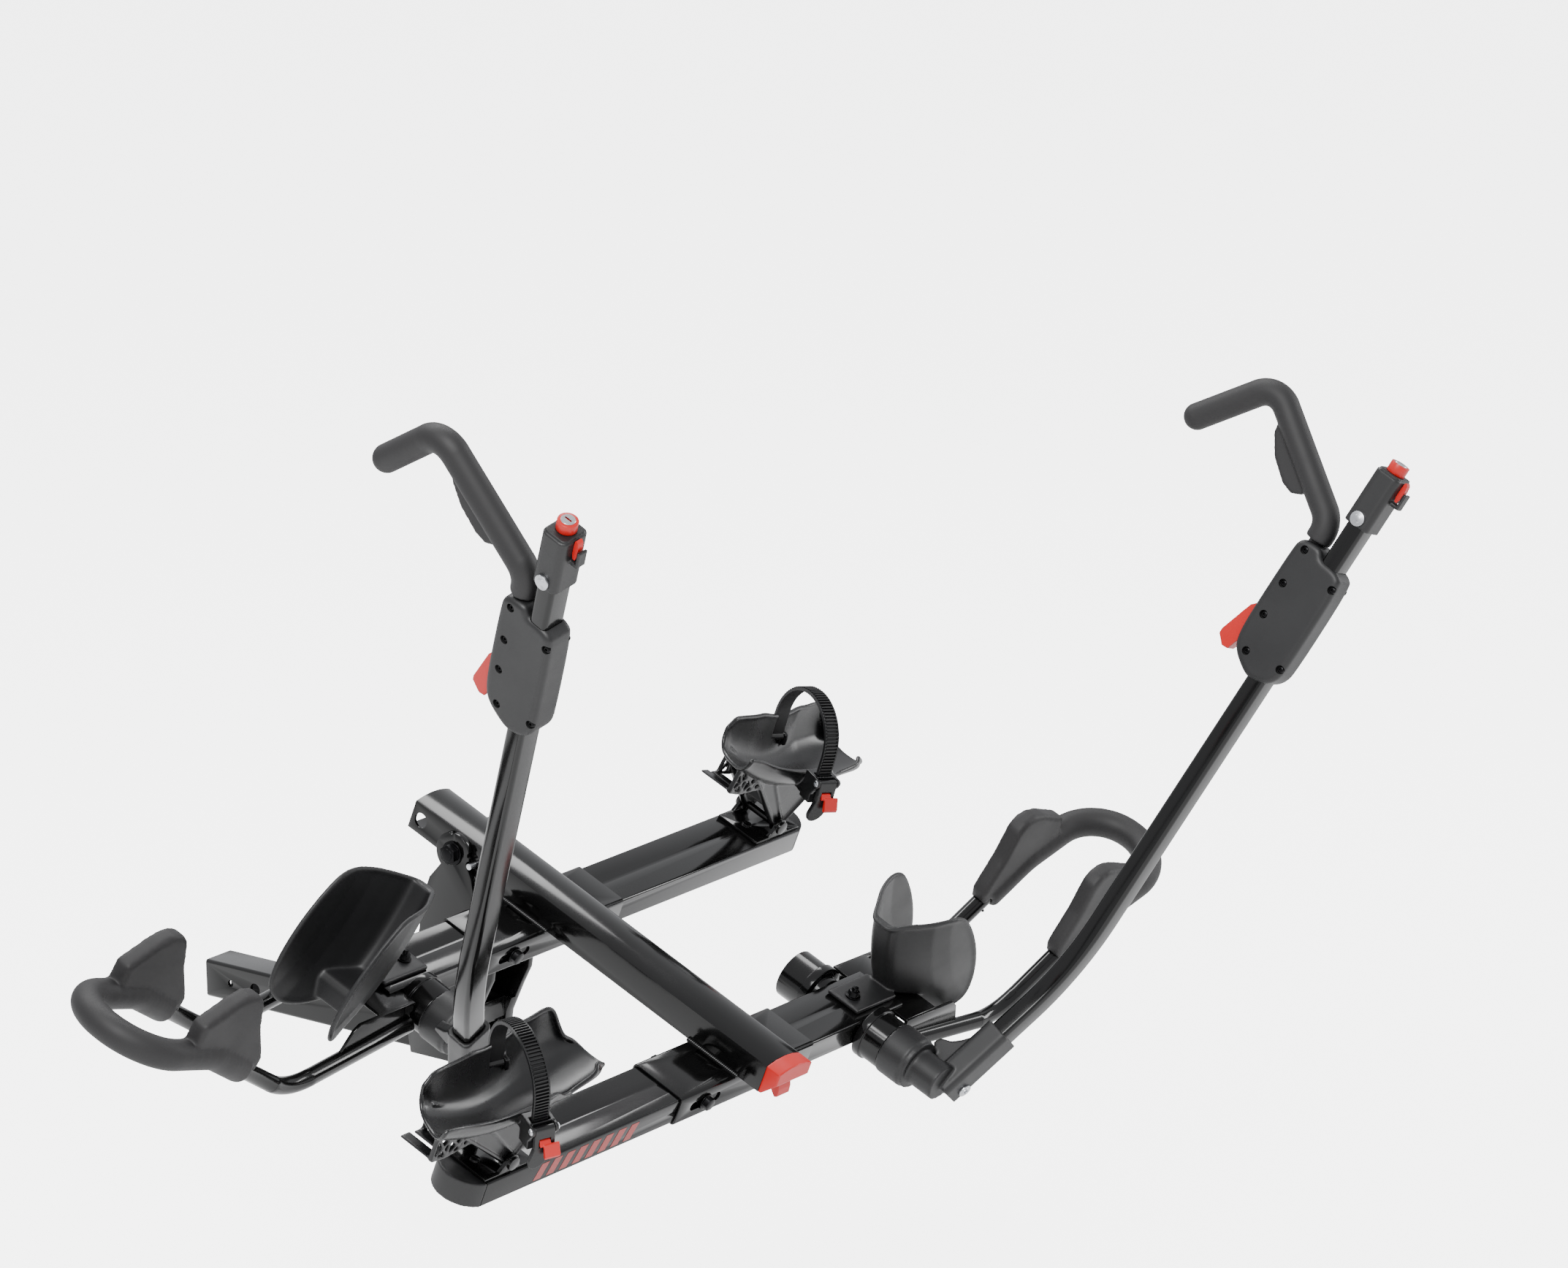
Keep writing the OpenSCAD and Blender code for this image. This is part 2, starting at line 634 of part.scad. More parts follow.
module arm_cap() {
  t = 4;
  z0 = arm_len - 63;
  color(plastic) arm_up() difference() {
    union() {
      translate([0, 0, z0]) linear_extrude(cap_h - 3) rrect(arm_w + 2 * t + 1, arm_d + 2 * t + 3, 9);
      translate([0, 0, z0 + cap_h - 3]) linear_extrude(3) rrect(arm_w + 2 * t - 4, arm_d + 2 * t - 1, 7);
      // side clip for the cable lock
      translate([0, -arm_d / 2 - 4, z0 + 44]) xz_clip();
    }
    translate([0, 0, z0 - 1]) linear_extrude(64) rrect(arm_w, arm_d, arm_corner);
    translate([0, 0, arm_len - 53]) xc(-60, 60, 5);
    translate([-1, 0, arm_len + 2]) cylinder(h = 30, r = lock_r - 1.5 + run_fit);
  }
}
module xz_clip() {
  translate([-7, -14, 0]) cube([14, 14, 5]);
  translate([-7, -14, 0]) cube([14, 4, 22]);
}
module arm_pin() {
  z = arm_len - 53;
  x = arm_w / 2 + 4.5;
  color(zinc) arm_up() {
    translate([0, 0, z]) {
      xc(-x - 4, x + 4, 5);
      for (s = [0, 1]) mirror([s, 0, 0]) difference() {
        xc(x, x + 3.5, 9.5);
        xc(x - 1, x + 5, 5);
      }
    }
  }
  color(zinc) arm_low() translate([8, 0, -204]) difference() {
    g = arm_d / 2 + socket_t;
    union() {
      yc(-g - 4, g - 2, 5.4);
      yc(-g - 3, -g, 9);
    }
    yc(-g - 5, -g - 1, 3);
  }
}
module lock_core() {
  color(red) arm_up() translate([-1, 0, 0]) difference() {
    union() {
      translate([0, 0, arm_len + 2.2]) cylinder(h = 15, r = lock_r - 1.5);
      translate([0, 0, arm_len + 16.4]) cylinder(h = 13, r = lock_r);
    }
    translate([-1.2, -6, arm_len + 26]) cube([2.4, 12, 5]);
  }
}

// ---------- hook ----------
hump = [[-12, 2], [8, -3], [22, 1], [44, 15], [52, 30], [55, 60], [55, 164], [52, 176], [44, 182],
  [24, 184], [17, 180], [12, 172], [-8, 172], [-20, 168], [-27, 160], [-28, 32], [-24, 14]];
module hook_housing() {
  h = housing_half;
  color(plastic) arm_up() translate([0, 0, hook_at]) difference() {
    yz(-h, h) polygon(hump);
    translate([0, 0, -5]) linear_extrude(200)
      rrect(arm_w + 2 * slide_gap, arm_d + 2 * slide_gap, arm_corner);
    // trigger pocket
    yz(-10.5, 10.5) polygon([[38, 4], [70, 4], [70, 80], [44, 80], [38, 60]]);
    // socket for the hook rod
    translate([0, 38, 150]) cylinder(h = 60, r = 9);
    // counterbored screw holes
    for (p = screws()) translate([0, p[0], p[1]]) {
      xc(-h - 1, -h + 5, 5.5);
      xc(h - 5, h + 1, 5.5);
      xc(-h, h, 2.6);
    }
  }
  color(zinc) arm_up() translate([0, trigger_at[0], hook_at + trigger_at[1]]) xc(-11, 11, 1.6);
}
function screws() = [[38, 170], [38, 120], [37, 74], [30, 24], [-21.6, 31], [-21.6, 150]];
module hook_screws() {
  h = housing_half;
  color(zinc) arm_up() translate([0, 0, hook_at]) for (p = screws()) translate([0, p[0], p[1]]) {
    xc(-h + 1, h - 1, 2.5);
    xc(-h + 1.8, -h + 4.9, 4.6);
    xc(h - 4.9, h - 1.8, 4.6);
  }
}
module hook_rod() {
  pts = [[0, 38, 180], [0, 38, 212], [0, 196, 311], [0, 266, 218]];
  color(plastic) arm_up() translate([0, 0, hook_at]) difference() {
    union() {
      rod_path(pts, [0, 32, 32], hook_r);
      translate([0, 266, 218]) sphere(hook_r + 0.12);
      translate([0, 38, 152]) cylinder(h = 30, r = 8.95);
      // web under the rising part
      yz(-5, 5) polygon([[86, 232], [90, 220], [102, 214], [118, 218], [146, 238], [164, 262], [168, 284], [150, 284]]);
    }
    // flat seat on the housing
    translate([-40, 0, 160]) cube([31, 90, 26.2]);
    translate([9, 0, 160]) cube([31, 90, 26.2]);
    difference() {
      translate([-9, 0, 170]) cube([18, 90, 16.2]);
      translate([0, 38, 150]) cylinder(h = 60, r = 8.95);
    }
    translate([0, screws()[0][0], screws()[0][1]]) xc(-20, 20, 2.6);
  }
}
module hook_trigger() {
  color(red) arm_up() translate([0, 0, hook_at]) difference() {
    yz(-10, 10) polygon([[47, 77], [57, 78], [63, 72], [78, 26], [78, 19], [66, 8], [57, 9], [50, 30]]);
    translate([0, trigger_at[0], trigger_at[1]]) xc(-12, 12, 1.6 + run_fit);
  }
}

// ---------- rear scoop, drawn about its pivot ----------
scoop_floor = 62;
scoop_c = -20;
scoop_u0 = -150;
scoop_u1 = 147;
function sc_floor(u) = let (w = min(u, 60) - scoop_c)
  scoop_floor + wheel_r - sqrt(wheel_r * wheel_r - w * w) + 0.16 * max(0, u - 60);
// height of the near and far walls over the floor, and how far out they stand, along the trough
function near_rise(u) = lookup(u, [[-150, 8], [-142, 18], [-120, 26], [20, 30], [44, 27], [62, 10],
  [80, 6], [120, 9], [147, 14]]);
function far_rise(u) = lookup(u, [[-150, 22], [-146, 34], [-138, 44], [-110, 52], [-60, 64], [0, 62],
  [40, 61], [70, 57], [95, 50], [112, 36], [126, 17], [138, 6], [147, 3]]);
function near_out(u) = lookup(u, [[-150, 3], [-60, 0], [30, -1], [62, 5], [90, 8], [132, 12], [142, 19],
  [147, 29]]);
function far_out(u) = lookup(u, [[-150, 9], [-110, 5], [-40, 3], [0, -1], [50, -10], [95, -11], [112, -4],
  [132, 14], [142, 24], [147, 32]]);
function wall_pt(q, w, h) = [w * (1 - pow(1 - q, 1.8)), h * pow(q, 2.4)];
function wall_dir(q, w, h) = unit([w * 1.8 * pow(1 - q, 0.8) + 0.001, h * 2.4 * pow(q, 1.4)]);
// point of the shell at station u and place p from -1, the near rim, to 1, the far rim
function sc_pt(u, p, out) = let (
    far = p >= 0,
    q = abs(p),
    w = scoop_half - (far ? far_out(u) : near_out(u)),
    h = far ? far_rise(u) : near_rise(u),
    a = wall_pt(q, w, h) + (out ? shell_t * [wall_dir(q, w, h)[1], -wall_dir(q, w, h)[0]] : [0, 0]),
    y = far ? a[0] : -a[0],
    s = (u - scoop_u0) / (scoop_u1 - scoop_u0))
  [u + 0.5 * y * (1 - s), y, sc_floor(u) + a[1]];
module scoop_shell() {
  ns = 18;
  m = 12;
  ring = 2 * (m + 1);
  us = [for (i = [0:ns]) scoop_u0 + (scoop_u1 - scoop_u0) * (0.5 - 0.5 * cos(180 * i / ns))];
  pts = [for (u = us) each concat([for (j = [0:m]) sc_pt(u, -1 + 2 * j / m, false)],
    [for (j = [m:-1:0]) sc_pt(u, -1 + 2 * j / m, true)])];
  side = [for (i = [0:ns - 1], j = [0:ring - 1]) let (k = (j + 1) % ring, a = i * ring, b = a + ring)
    each [[a + j, b + k, b + j], [a + j, a + k, b + k]]];
  ends = [for (j = [0:m - 1]) let (b = ns * ring, o = ring - 1 - j)
    each [[j, o - 1, j + 1], [j, o, o - 1], [b + j, b + j + 1, b + o - 1], [b + j, b + o - 1, b + o]]];
  polyhedron(pts, concat(side, ends));
}
module rear_scoop() {
  color(plastic) difference() {
    union() {
      scoop_shell();
      // trunk plates down to the pivot
      for (y = [-26.5, 21.5]) intersection() {
        xz(y, y + 5) {
          polygon([[-118, 78], [-150, 96], [-40, 80], [60, 80], [44, 60], [9, -4], [-9, -4]]);
          circle(9.5);
        }
        trunk_clip();
      }
      // ribbed keel under the outer end
      intersection() {
        union() {
          for (y = [-26, -2, 22]) translate([0.8 * (y + 26), 0, 0]) xz(y, y + 4) polygon([[-170, 110],
            [-176, 92], [-174, 64], [-167, 52], [-152, 54], [-120, 60], [-100, 60], [-100, 100]]);
          translate([0, 0, 56]) linear_extrude(60) polygon([[-174, -24], [-168, -24], [-128, 24], [-134, 24]]);
        }
        trunk_clip();
      }
    }
    // pivot bore, notch in the far wall that the strap's leg swings through
    yc(-60, 60, scoop_pin_r + run_fit);
    strap_frame() translate([-strap_w / 2 - 1.6, strap_r - 9, anchor_v - 9]) cube([strap_w + 3.2, 40, 120]);
  }
  color(plastic) strap_frame() {
    // two lugs and a pin for the strap's far end
    translate([-strap_w / 2 - 7, strap_r - 6, anchor_v - 12]) cube([6, 12, 17]);
    translate([strap_w / 2 + 1, strap_r - 6, anchor_v - 12]) cube([6, 19, 17]);
    translate([0, strap_r, anchor_v]) xc(-strap_w / 2 - 7.5, strap_w / 2 + 7.5, strap_pin_r);
    // boss on the near wall for the buckle
    yz(-6, 12) polygon([[boss_y, buckle_z - 12], [boss_y + 15, buckle_z - 12], [boss_y + 18, buckle_z - 20],
      [boss_y + 22, buckle_z - 28], [boss_y + 27, buckle_z - 36], [boss_y, buckle_z - 38]]);
  }
}
// everything below the outside of the trough's floor
module trunk_clip() {
  difference() {
    translate([-200, -40, -20]) cube([320, 80, 160]);
    translate([scoop_c, 0, scoop_floor + wheel_r]) rotate([90, 0, 0])
      cylinder(h = 100, r = wheel_r + shell_t / 2, center = true, $fn = 180);
  }
}

// ---------- strap and buckle ----------
// strap frame: x across the strap, y across the scoop, z up, origin at the arch's centre
module strap_frame() {
  translate(strap_at) rotate([0, 0, -strap_skew]) rotate([0, -strap_lean, 0]) children();
}
module strap() {
  t = strap_t / 2;
  o = strap_r + t;
  i = strap_r - t;
  band = concat([[o, anchor_v]], [for (a = [0:4:180]) o * [cos(a), sin(a)]],
    [[-o, buckle_z - 16], [-i, buckle_z - 16]],
    [for (a = [180:-4:0]) i * [cos(a), sin(a)]], [[i, anchor_v]]);
  color(plastic) strap_frame() yz(-strap_w / 2, strap_w / 2) difference() {
    union() {
      polygon(band);
      translate([strap_r, anchor_v]) circle(5);
      // ladder ribs along the near half of the arch
      for (a = [66:8:178]) rotate(a) translate([o - 0.3, -1.6]) square([1.5, 3.2]);
    }
    translate([strap_r, anchor_v]) circle(strap_pin_r + run_fit);
  }
}
module buckle_base() {
  color(plastic) strap_frame() translate([0, boss_y, buckle_z]) difference() {
    union() {
      translate([-17, -22, -32]) cube([34, 22, 38]);
      for (x = [-17, 13.2]) yz(x, x + 3.8) polygon([[-20, -22], [-29, -8], [-32.5, -4], [-33.5, 0],
        [-32, 4], [-28, 5.5], [-20, 5.5]]);
      translate([0, -28, 0]) xc(-17, 17, 2.5);
    }
    // open pocket for the strap's end
    translate([-strap_w / 2 - 1.6, -strap_r - 5 - boss_y, -24]) cube([strap_w + 3.2, 10, 60]);
  }
}
module buckle_lever() {
  low = -24;
  color(plastic) strap_frame() translate([0, boss_y - 28, buckle_z]) difference() {
    union() {
      xc(-12.8, 12.8, 4.6);
      yz(-12.8, 12.8) polygon([[-4.6, 0], [1.5, 0], [1, low], [-6, low]]);
      // paddle, set over to one side below the window
      multmatrix([[1, 0, 0.4, -0.4 * low - 1], [0, 1, 0, 0], [0, 0, 1, 0], [0, 0, 0, 1]]) intersection() {
        yz(-11.8, 11.8) polygon([[-6, low], [1, low], [-1, -42], [-4, -52], [-7, -52], [-6.5, -34]]);
        translate([0, 10, -40.2]) rotate([90, 0, 0]) linear_extrude(30) union() {
          circle(11.8);
          translate([-11.8, 0]) square([23.6, 30]);
        }
      }
    }
    xc(-14, 14, 2.5 + run_fit);
    // window for the root of the release tab
    translate([-7.4, -20, -23]) cube([14.8, 30, 12]);
  }
}
module buckle_release() {
  color(red) strap_frame() translate([0, boss_y - 28, buckle_z]) union() {
    translate([0, -2.4, -16]) xc(-7, 7, 3);
    yz(-7, 7) polygon([[-5.2, -14], [-9, -19.5], [-7.2, -21.5], [-1, -20], [0.3, -17]]);
    yz(-3, 17) polygon([[-7.2, -17.5], [-9.5, -17.5], [-15.5, -32], [-14, -36], [-10.5, -35], [-7.4, -22]]);
  }
}

stinger_tube();
riser();
pivot_bolt();
spine_tube();
near_sleeve();
far_sleeve();
spine_end_cap();
tilt_lever();
latch_rod();
near_tray() tray_tube(-clamp_x);  // near_tray_tube
near_tray() tray_cap();  // near_tray_cap
clamp_bolt(-clamp_x, near_tray_y);  // near_clamp_bolt
near_tray() hoop_tube();  // near_hoop_tube
near_tray() hoop_bracket();  // near_hoop_bracket
near_tray() hoop_cover();  // near_hoop_cover
near_tray() front_saddle();  // near_front_saddle
near_tray() saddle_stud();  // near_saddle_stud
near_tray() pivot_housing();  // near_pivot_housing
near_tray() scoop_bracket();  // near_scoop_bracket
near_arm() arm_base();  // near_arm_base
near_arm() arm_tube();  // near_arm_tube
near_arm() arm_cap();  // near_arm_cap
near_arm() arm_pin();  // near_arm_pin
near_arm() lock_core();  // near_lock_core
near_arm() hook_housing();  // near_hook_housing
near_arm() hook_rod();  // near_hook_rod
near_arm() hook_screws();  // near_hook_screws
near_arm() hook_trigger();  // near_hook_trigger
near_scoop() rear_scoop();  // near_rear_scoop
near_scoop() buckle_base();  // near_buckle_base
near_scoop() strap();  // near_strap
near_scoop() buckle_lever();  // near_buckle_lever
near_scoop() buckle_release();  // near_buckle_release
far_tray() tray_tube(clamp_x - far_shift);  // far_tray_tube
far_tray() tray_cap();  // far_tray_cap
clamp_bolt(-clamp_x, far_tray_y);  // far_clamp_bolt
far_tray() hoop_tube();  // far_hoop_tube
far_tray() hoop_bracket();  // far_hoop_bracket
far_tray() hoop_cover();  // far_hoop_cover
far_tray() front_saddle();  // far_front_saddle
far_tray() saddle_stud();  // far_saddle_stud
far_tray() pivot_housing();  // far_pivot_housing
far_tray() scoop_bracket();  // far_scoop_bracket
far_arm() arm_base();  // far_arm_base
far_arm() arm_tube();  // far_arm_tube
far_arm() arm_cap();  // far_arm_cap
far_arm() arm_pin();  // far_arm_pin
far_arm() lock_core();  // far_lock_core
far_arm() hook_housing();  // far_hook_housing
far_arm() hook_rod();  // far_hook_rod
far_arm() hook_screws();  // far_hook_screws
far_arm() hook_trigger();  // far_hook_trigger
far_scoop() rear_scoop();  // far_rear_scoop
far_scoop() buckle_base();  // far_buckle_base
far_scoop() strap();  // far_strap
far_scoop() buckle_lever();  // far_buckle_lever
far_scoop() buckle_release();  // far_buckle_release
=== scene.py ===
import json
import math

import bmesh
import bpy
from mathutils import Matrix, Vector


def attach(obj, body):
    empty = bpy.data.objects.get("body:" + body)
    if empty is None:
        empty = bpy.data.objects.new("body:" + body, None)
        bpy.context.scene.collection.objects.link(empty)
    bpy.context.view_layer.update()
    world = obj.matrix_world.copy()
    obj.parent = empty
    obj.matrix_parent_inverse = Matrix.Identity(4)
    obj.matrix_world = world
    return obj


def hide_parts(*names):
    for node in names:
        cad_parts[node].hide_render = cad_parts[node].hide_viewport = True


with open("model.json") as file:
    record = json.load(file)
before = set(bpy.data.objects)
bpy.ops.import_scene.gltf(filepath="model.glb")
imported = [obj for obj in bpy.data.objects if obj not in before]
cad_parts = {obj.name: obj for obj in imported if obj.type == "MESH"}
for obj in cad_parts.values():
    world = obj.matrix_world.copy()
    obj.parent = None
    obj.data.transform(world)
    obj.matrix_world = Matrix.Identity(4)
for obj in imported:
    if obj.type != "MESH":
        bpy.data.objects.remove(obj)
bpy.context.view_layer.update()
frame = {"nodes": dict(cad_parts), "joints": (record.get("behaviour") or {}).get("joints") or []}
joint = {entry["name"]: entry for entry in frame["joints"]}

# Lengths are in metres, unless a name or a comment says mm. The vehicle's right is x and its front is y.


# ---------- camera ----------
# A long lens stands about nine metres away, at the left rear of the vehicle and a little above the rack,
# so the parallel trays stay almost parallel.
sight_turn = math.radians(51.655)
sight_drop = math.radians(15.56)
sight_roll = math.radians(-1.078)
sight_distance = 8.831
sight_right = 0.6716
sight_up = 0.4567
sensor_mm = 36.0
lens_mm = 155.743

ahead = Vector((math.sin(sight_turn) * math.cos(sight_drop), math.cos(sight_turn) * math.cos(sight_drop),
                -math.sin(sight_drop)))
level_right = Vector((math.cos(sight_turn), -math.sin(sight_turn), 0))
level_up = level_right.cross(ahead)
right = math.cos(sight_roll) * level_right + math.sin(sight_roll) * level_up
up = math.cos(sight_roll) * level_up - math.sin(sight_roll) * level_right
camera_place = sight_right * right + sight_up * up - sight_distance * ahead
camera_data = bpy.data.cameras.new("catalogue_camera")
camera_data.sensor_width = sensor_mm
camera_data.lens = lens_mm
camera_data.clip_end = 100
camera = bpy.data.objects.new("catalogue_camera", camera_data)
camera.matrix_world = Matrix((
    (right.x, up.x, -ahead.x, camera_place.x),
    (right.y, up.y, -ahead.y, camera_place.y),
    (right.z, up.z, -ahead.z, camera_place.z),
    (0, 0, 0, 1)))
bpy.context.scene.collection.objects.link(camera)
bpy.context.scene.camera = camera


# ---------- studio ----------
# A pale floor lies as far below the receiver as a road would, under an even white tent. Wide soft boxes
# give the gloss tubes their long highlights.
def linear(code, alpha=1.0):
    """An sRGB hex colour as the linear colour that shaders take."""
    parts = [int(code[i:i + 2], 16) / 255 for i in (1, 3, 5)]
    return tuple(c / 12.92 if c <= 0.04045 else ((c + 0.055) / 1.055) ** 2.4 for c in parts) + (alpha,)


def add(tree, kind, inputs=None, links=None, **settings):
    """A node in tree, with its settings, its socket values and its incoming links."""
    made = tree.nodes.new(kind)
    for name, value in settings.items():
        setattr(made, name, value)
    for socket, value in (inputs or {}).items():
        made.inputs[socket].default_value = value
    for socket, source in (links or {}).items():
        tree.links.new(source, made.inputs[socket])
    return made


def place_mesh(name, points, faces):
    """A mesh object at the origin."""
    mesh = bpy.data.meshes.new(name)
    mesh.from_pydata([tuple(p) for p in points], [], faces)
    made = bpy.data.objects.new(name, mesh)
    bpy.context.scene.collection.objects.link(made)
    return made


floor_drop = 0.42
floor_half = 40.0
floor_corners = ((-1, -1), (1, -1), (1, 1), (-1, 1))
floor = place_mesh("studio_floor",
                   [(x * floor_half, y * floor_half, -floor_drop) for x, y in floor_corners], [(0, 1, 2, 3)])

# Matt white background paper. It glows for the camera alone, so the ground reads as an even white sheet
# while reflections and bounced light still come from plain paper.
paper_glow = 4.0
paper_rough = 0.9
paper_clouds = 0.6
paper = bpy.data.materials.new("matt_white_paper")
paper.use_nodes = True
paper_tree = paper.node_tree
paper_shader = paper_tree.nodes["Principled BSDF"]
paper_shader.inputs["Roughness"].default_value = paper_rough
paper_place = add(paper_tree, "ShaderNodeTexCoord")
paper_tone = add(paper_tree, "ShaderNodeTexNoise", {"Scale": paper_clouds, "Detail": 2},
                 {"Vector": paper_place.outputs["Object"]})
paper_mix = add(paper_tree, "ShaderNodeMix", {"A": linear("#FBFBFA"), "B": linear("#FEFEFE")},
                {"Factor": paper_tone.outputs["Fac"]}, data_type="RGBA")
paper_tree.links.new(paper_mix.outputs["Result"], paper_shader.inputs["Base Color"])
paper_path = add(paper_tree, "ShaderNodeLightPath")
paper_light = add(paper_tree, "ShaderNodeMath", {1: paper_glow}, {0: paper_path.outputs["Is Camera Ray"]},
                  operation="MULTIPLY")
paper_tree.links.new(paper_mix.outputs["Result"], paper_shader.inputs["Emission Color"])
paper_tree.links.new(paper_light.outputs["Value"], paper_shader.inputs["Emission Strength"])
floor.data.materials.append(paper)

tent_strength = 0.9
world = bpy.data.worlds.new("white_tent")
world.use_nodes = True
world.node_tree.nodes["Background"].inputs["Color"].default_value = linear("#F6F7FA")
world.node_tree.nodes["Background"].inputs["Strength"].default_value = tent_strength
bpy.context.scene.world = world


def soft_box(name, place, aim, width, height, watts):
    """A rectangular lamp at place that faces aim."""
    data = bpy.data.lights.new(name, "AREA")
    data.shape = "RECTANGLE"
    data.size = width
    data.size_y = height
    data.energy = watts
    lamp = bpy.data.objects.new(name, data)
    lamp.location = place
    lamp.rotation_euler = (Vector(aim) - Vector(place)).to_track_quat("-Z", "Y").to_euler()
    bpy.context.scene.collection.objects.link(lamp)


middle = (0.0, -0.5, 0.3)
soft_box("key_box", (-3.5, -2.5, 4.0), middle, 3.0, 2.0, 280)
soft_box("top_strip", (1.0, 1.5, 4.5), middle, 5.0, 1.2, 190)
soft_box("side_strip", (4.5, -3.5, 2.0), middle, 0.8, 3.5, 110)


# ---------- finishes ----------
# The rack is all black and red with bright fasteners. One surface recipe serves every finish: a fine
# grain that bends the light, and faint clouds in colour and roughness, about 70 mm wide. A mould's or a
# plated surface's own grain is under 0.3 mm, so it is drawn a few times coarser, to show at all.
cloud_scale = 14
coat_roughness = 0.08


def finish(name, dark, light, grain_mm, relief_mm, rough_low, rough_high, metallic=0.0, ior=1.5, coat=0.0):
    """A procedural finish. grain_mm is the size of its texture and relief_mm its depth."""
    made = bpy.data.materials.new(name)
    made.use_nodes = True
    tree = made.node_tree
    shader = tree.nodes["Principled BSDF"]
    shader.inputs["Metallic"].default_value = metallic
    shader.inputs["IOR"].default_value = ior
    shader.inputs["Coat Weight"].default_value = coat
    shader.inputs["Coat Roughness"].default_value = coat_roughness
    where = add(tree, "ShaderNodeTexCoord")
    grain = add(tree, "ShaderNodeTexNoise", {"Scale": 1000 / grain_mm, "Detail": 3},
                {"Vector": where.outputs["Object"]})
    cloud = add(tree, "ShaderNodeTexNoise", {"Scale": cloud_scale, "Detail": 4},
                {"Vector": where.outputs["Object"]})
    tone = add(tree, "ShaderNodeMix", {"A": linear(dark), "B": linear(light)},
               {"Factor": cloud.outputs["Fac"]}, data_type="RGBA")
    sheen = add(tree, "ShaderNodeMapRange",
                {"From Min": 0.3, "From Max": 0.7, "To Min": rough_low, "To Max": rough_high},
                {"Value": cloud.outputs["Fac"]})
    relief = add(tree, "ShaderNodeBump", {"Strength": 0.5, "Distance": relief_mm / 1000},
                 {"Height": grain.outputs["Fac"]})
    tree.links.new(tone.outputs["Result"], shader.inputs["Base Color"])
    tree.links.new(sheen.outputs["Result"], shader.inputs["Roughness"])
    tree.links.new(relief.outputs["Normal"], shader.inputs["Normal"])
    return made


# Polyester powder, sprayed and baked: deep black with an even gloss and faint orange peel.
powder_coat = finish("powder_coated_steel", "#060606", "#0A0A0A", 3.0, 0.006, 0.11, 0.18,
                     ior=1.4, coat=0.12)
# Glass-filled nylon out of a spark-eroded mould: dark grey satin with a fine leathery grain.
moulded_nylon = finish("moulded_nylon", "#121213", "#181819", 0.9, 0.05, 0.42, 0.52)
# The same nylon from a polished mould, for the wheel scoops and the buckles: black and half gloss.
smooth_nylon = finish("smooth_nylon", "#0A0A0B", "#101011", 1.6, 0.03, 0.24, 0.33)
# Soft thermoplastic rubber over the hook and the hoop, which grips tyres: greyer and almost matt.
soft_grip = finish("soft_grip_rubber", "#171617", "#1D1C1D", 1.1, 0.06, 0.55, 0.65)
# Urethane of the ladder strap: black and faintly waxy.
strap_urethane = finish("strap_urethane", "#0B0B0C", "#121213", 1.2, 0.03, 0.38, 0.48)
# Red pigmented nylon of every part that the hand works.
red_nylon = finish("red_nylon", "#B80F0A", "#C2150E", 1.2, 0.03, 0.30, 0.40)
# Red ink on the steel of the tray: a thin deep red film with a slight gloss.
printed_red = finish("printed_red", "#8E1913", "#A3221B", 1.2, 0.01, 0.32, 0.42, coat=0.2)
# Zinc plate, clear passivated: bright grey metal with slightly cloudy reflections.
zinc_plate = finish("zinc_plated_steel", "#C3C5C9", "#D2D4D7", 0.8, 0.02, 0.22, 0.34, metallic=1.0)
# Black oxide on hardened screws: dark metal with an oily gloss.
black_oxide = finish("black_oxide_steel", "#1A1A1B", "#242425", 0.7, 0.02, 0.25, 0.35, metallic=1.0)


# ---------- hitch ----------
# The square receiver bar and the two riser plates are laser-cut and welded steel, powder coated black.
# A 16 mm bolt through the plates carries the spine, and its heads and washers are black.
merge_distance = 1e-5
flat_angle = 0.6
edge_angle = 40


def whole_copy(node, name):
    """The CAD node's surface as one closed mesh, with coplanar triangles joined."""
    mesh = frame["nodes"][node].data.copy()
    mesh.name = name
    mesh.materials.clear()
    shape = bmesh.new()
    shape.from_mesh(mesh)
    bmesh.ops.remove_doubles(shape, verts=shape.verts, dist=merge_distance)
    bmesh.ops.dissolve_limit(shape, angle_limit=math.radians(flat_angle), verts=shape.verts,
                             edges=shape.edges)
    bmesh.ops.recalc_face_normals(shape, faces=shape.faces)
    shape.to_mesh(mesh)
    shape.free()
    made = bpy.data.objects.new(name, mesh)
    bpy.context.scene.collection.objects.link(made)
    return made


def shade(piece, sharp_angle):
    """Shades the piece smooth but for edges above an angle in degrees."""
    piece.data.shade_smooth()
    piece.data.set_sharp_from_angle(angle=math.radians(sharp_angle))


def settle(piece, sharp_angle=38):
    """Applies every modifier to the piece's mesh and shades it."""
    bpy.context.view_layer.update()
    done = bpy.data.meshes.new_from_object(piece.evaluated_get(bpy.context.evaluated_depsgraph_get()))
    piece.modifiers.clear()
    old = piece.data
    piece.data = done
    bpy.data.meshes.remove(old)
    shade(piece, sharp_angle)


def hand_over(piece, material, body, slot, *nodes):
    """Gives the piece its finish and its body, and hides the CAD nodes that it stands for. slot is not used.
    """
    piece.data.materials.clear()
    piece.data.materials.append(material)
    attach(piece, body)
    if nodes:
        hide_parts(*nodes)


def dressed(node, name, material, slot, edge_mm, body, steps=2):
    """A CAD node with its sharp edges broken by edge_mm, as deburring and coating leave them."""
    piece = whole_copy(node, name)
    edge = piece.modifiers.new("broken_edges", "BEVEL")
    edge.width = edge_mm / 1000
    edge.segments = steps
    edge.limit_method = "ANGLE"
    edge.angle_limit = math.radians(edge_angle)
    edge.use_clamp_overlap = True
    settle(piece)
    hand_over(piece, material, body, slot, node)


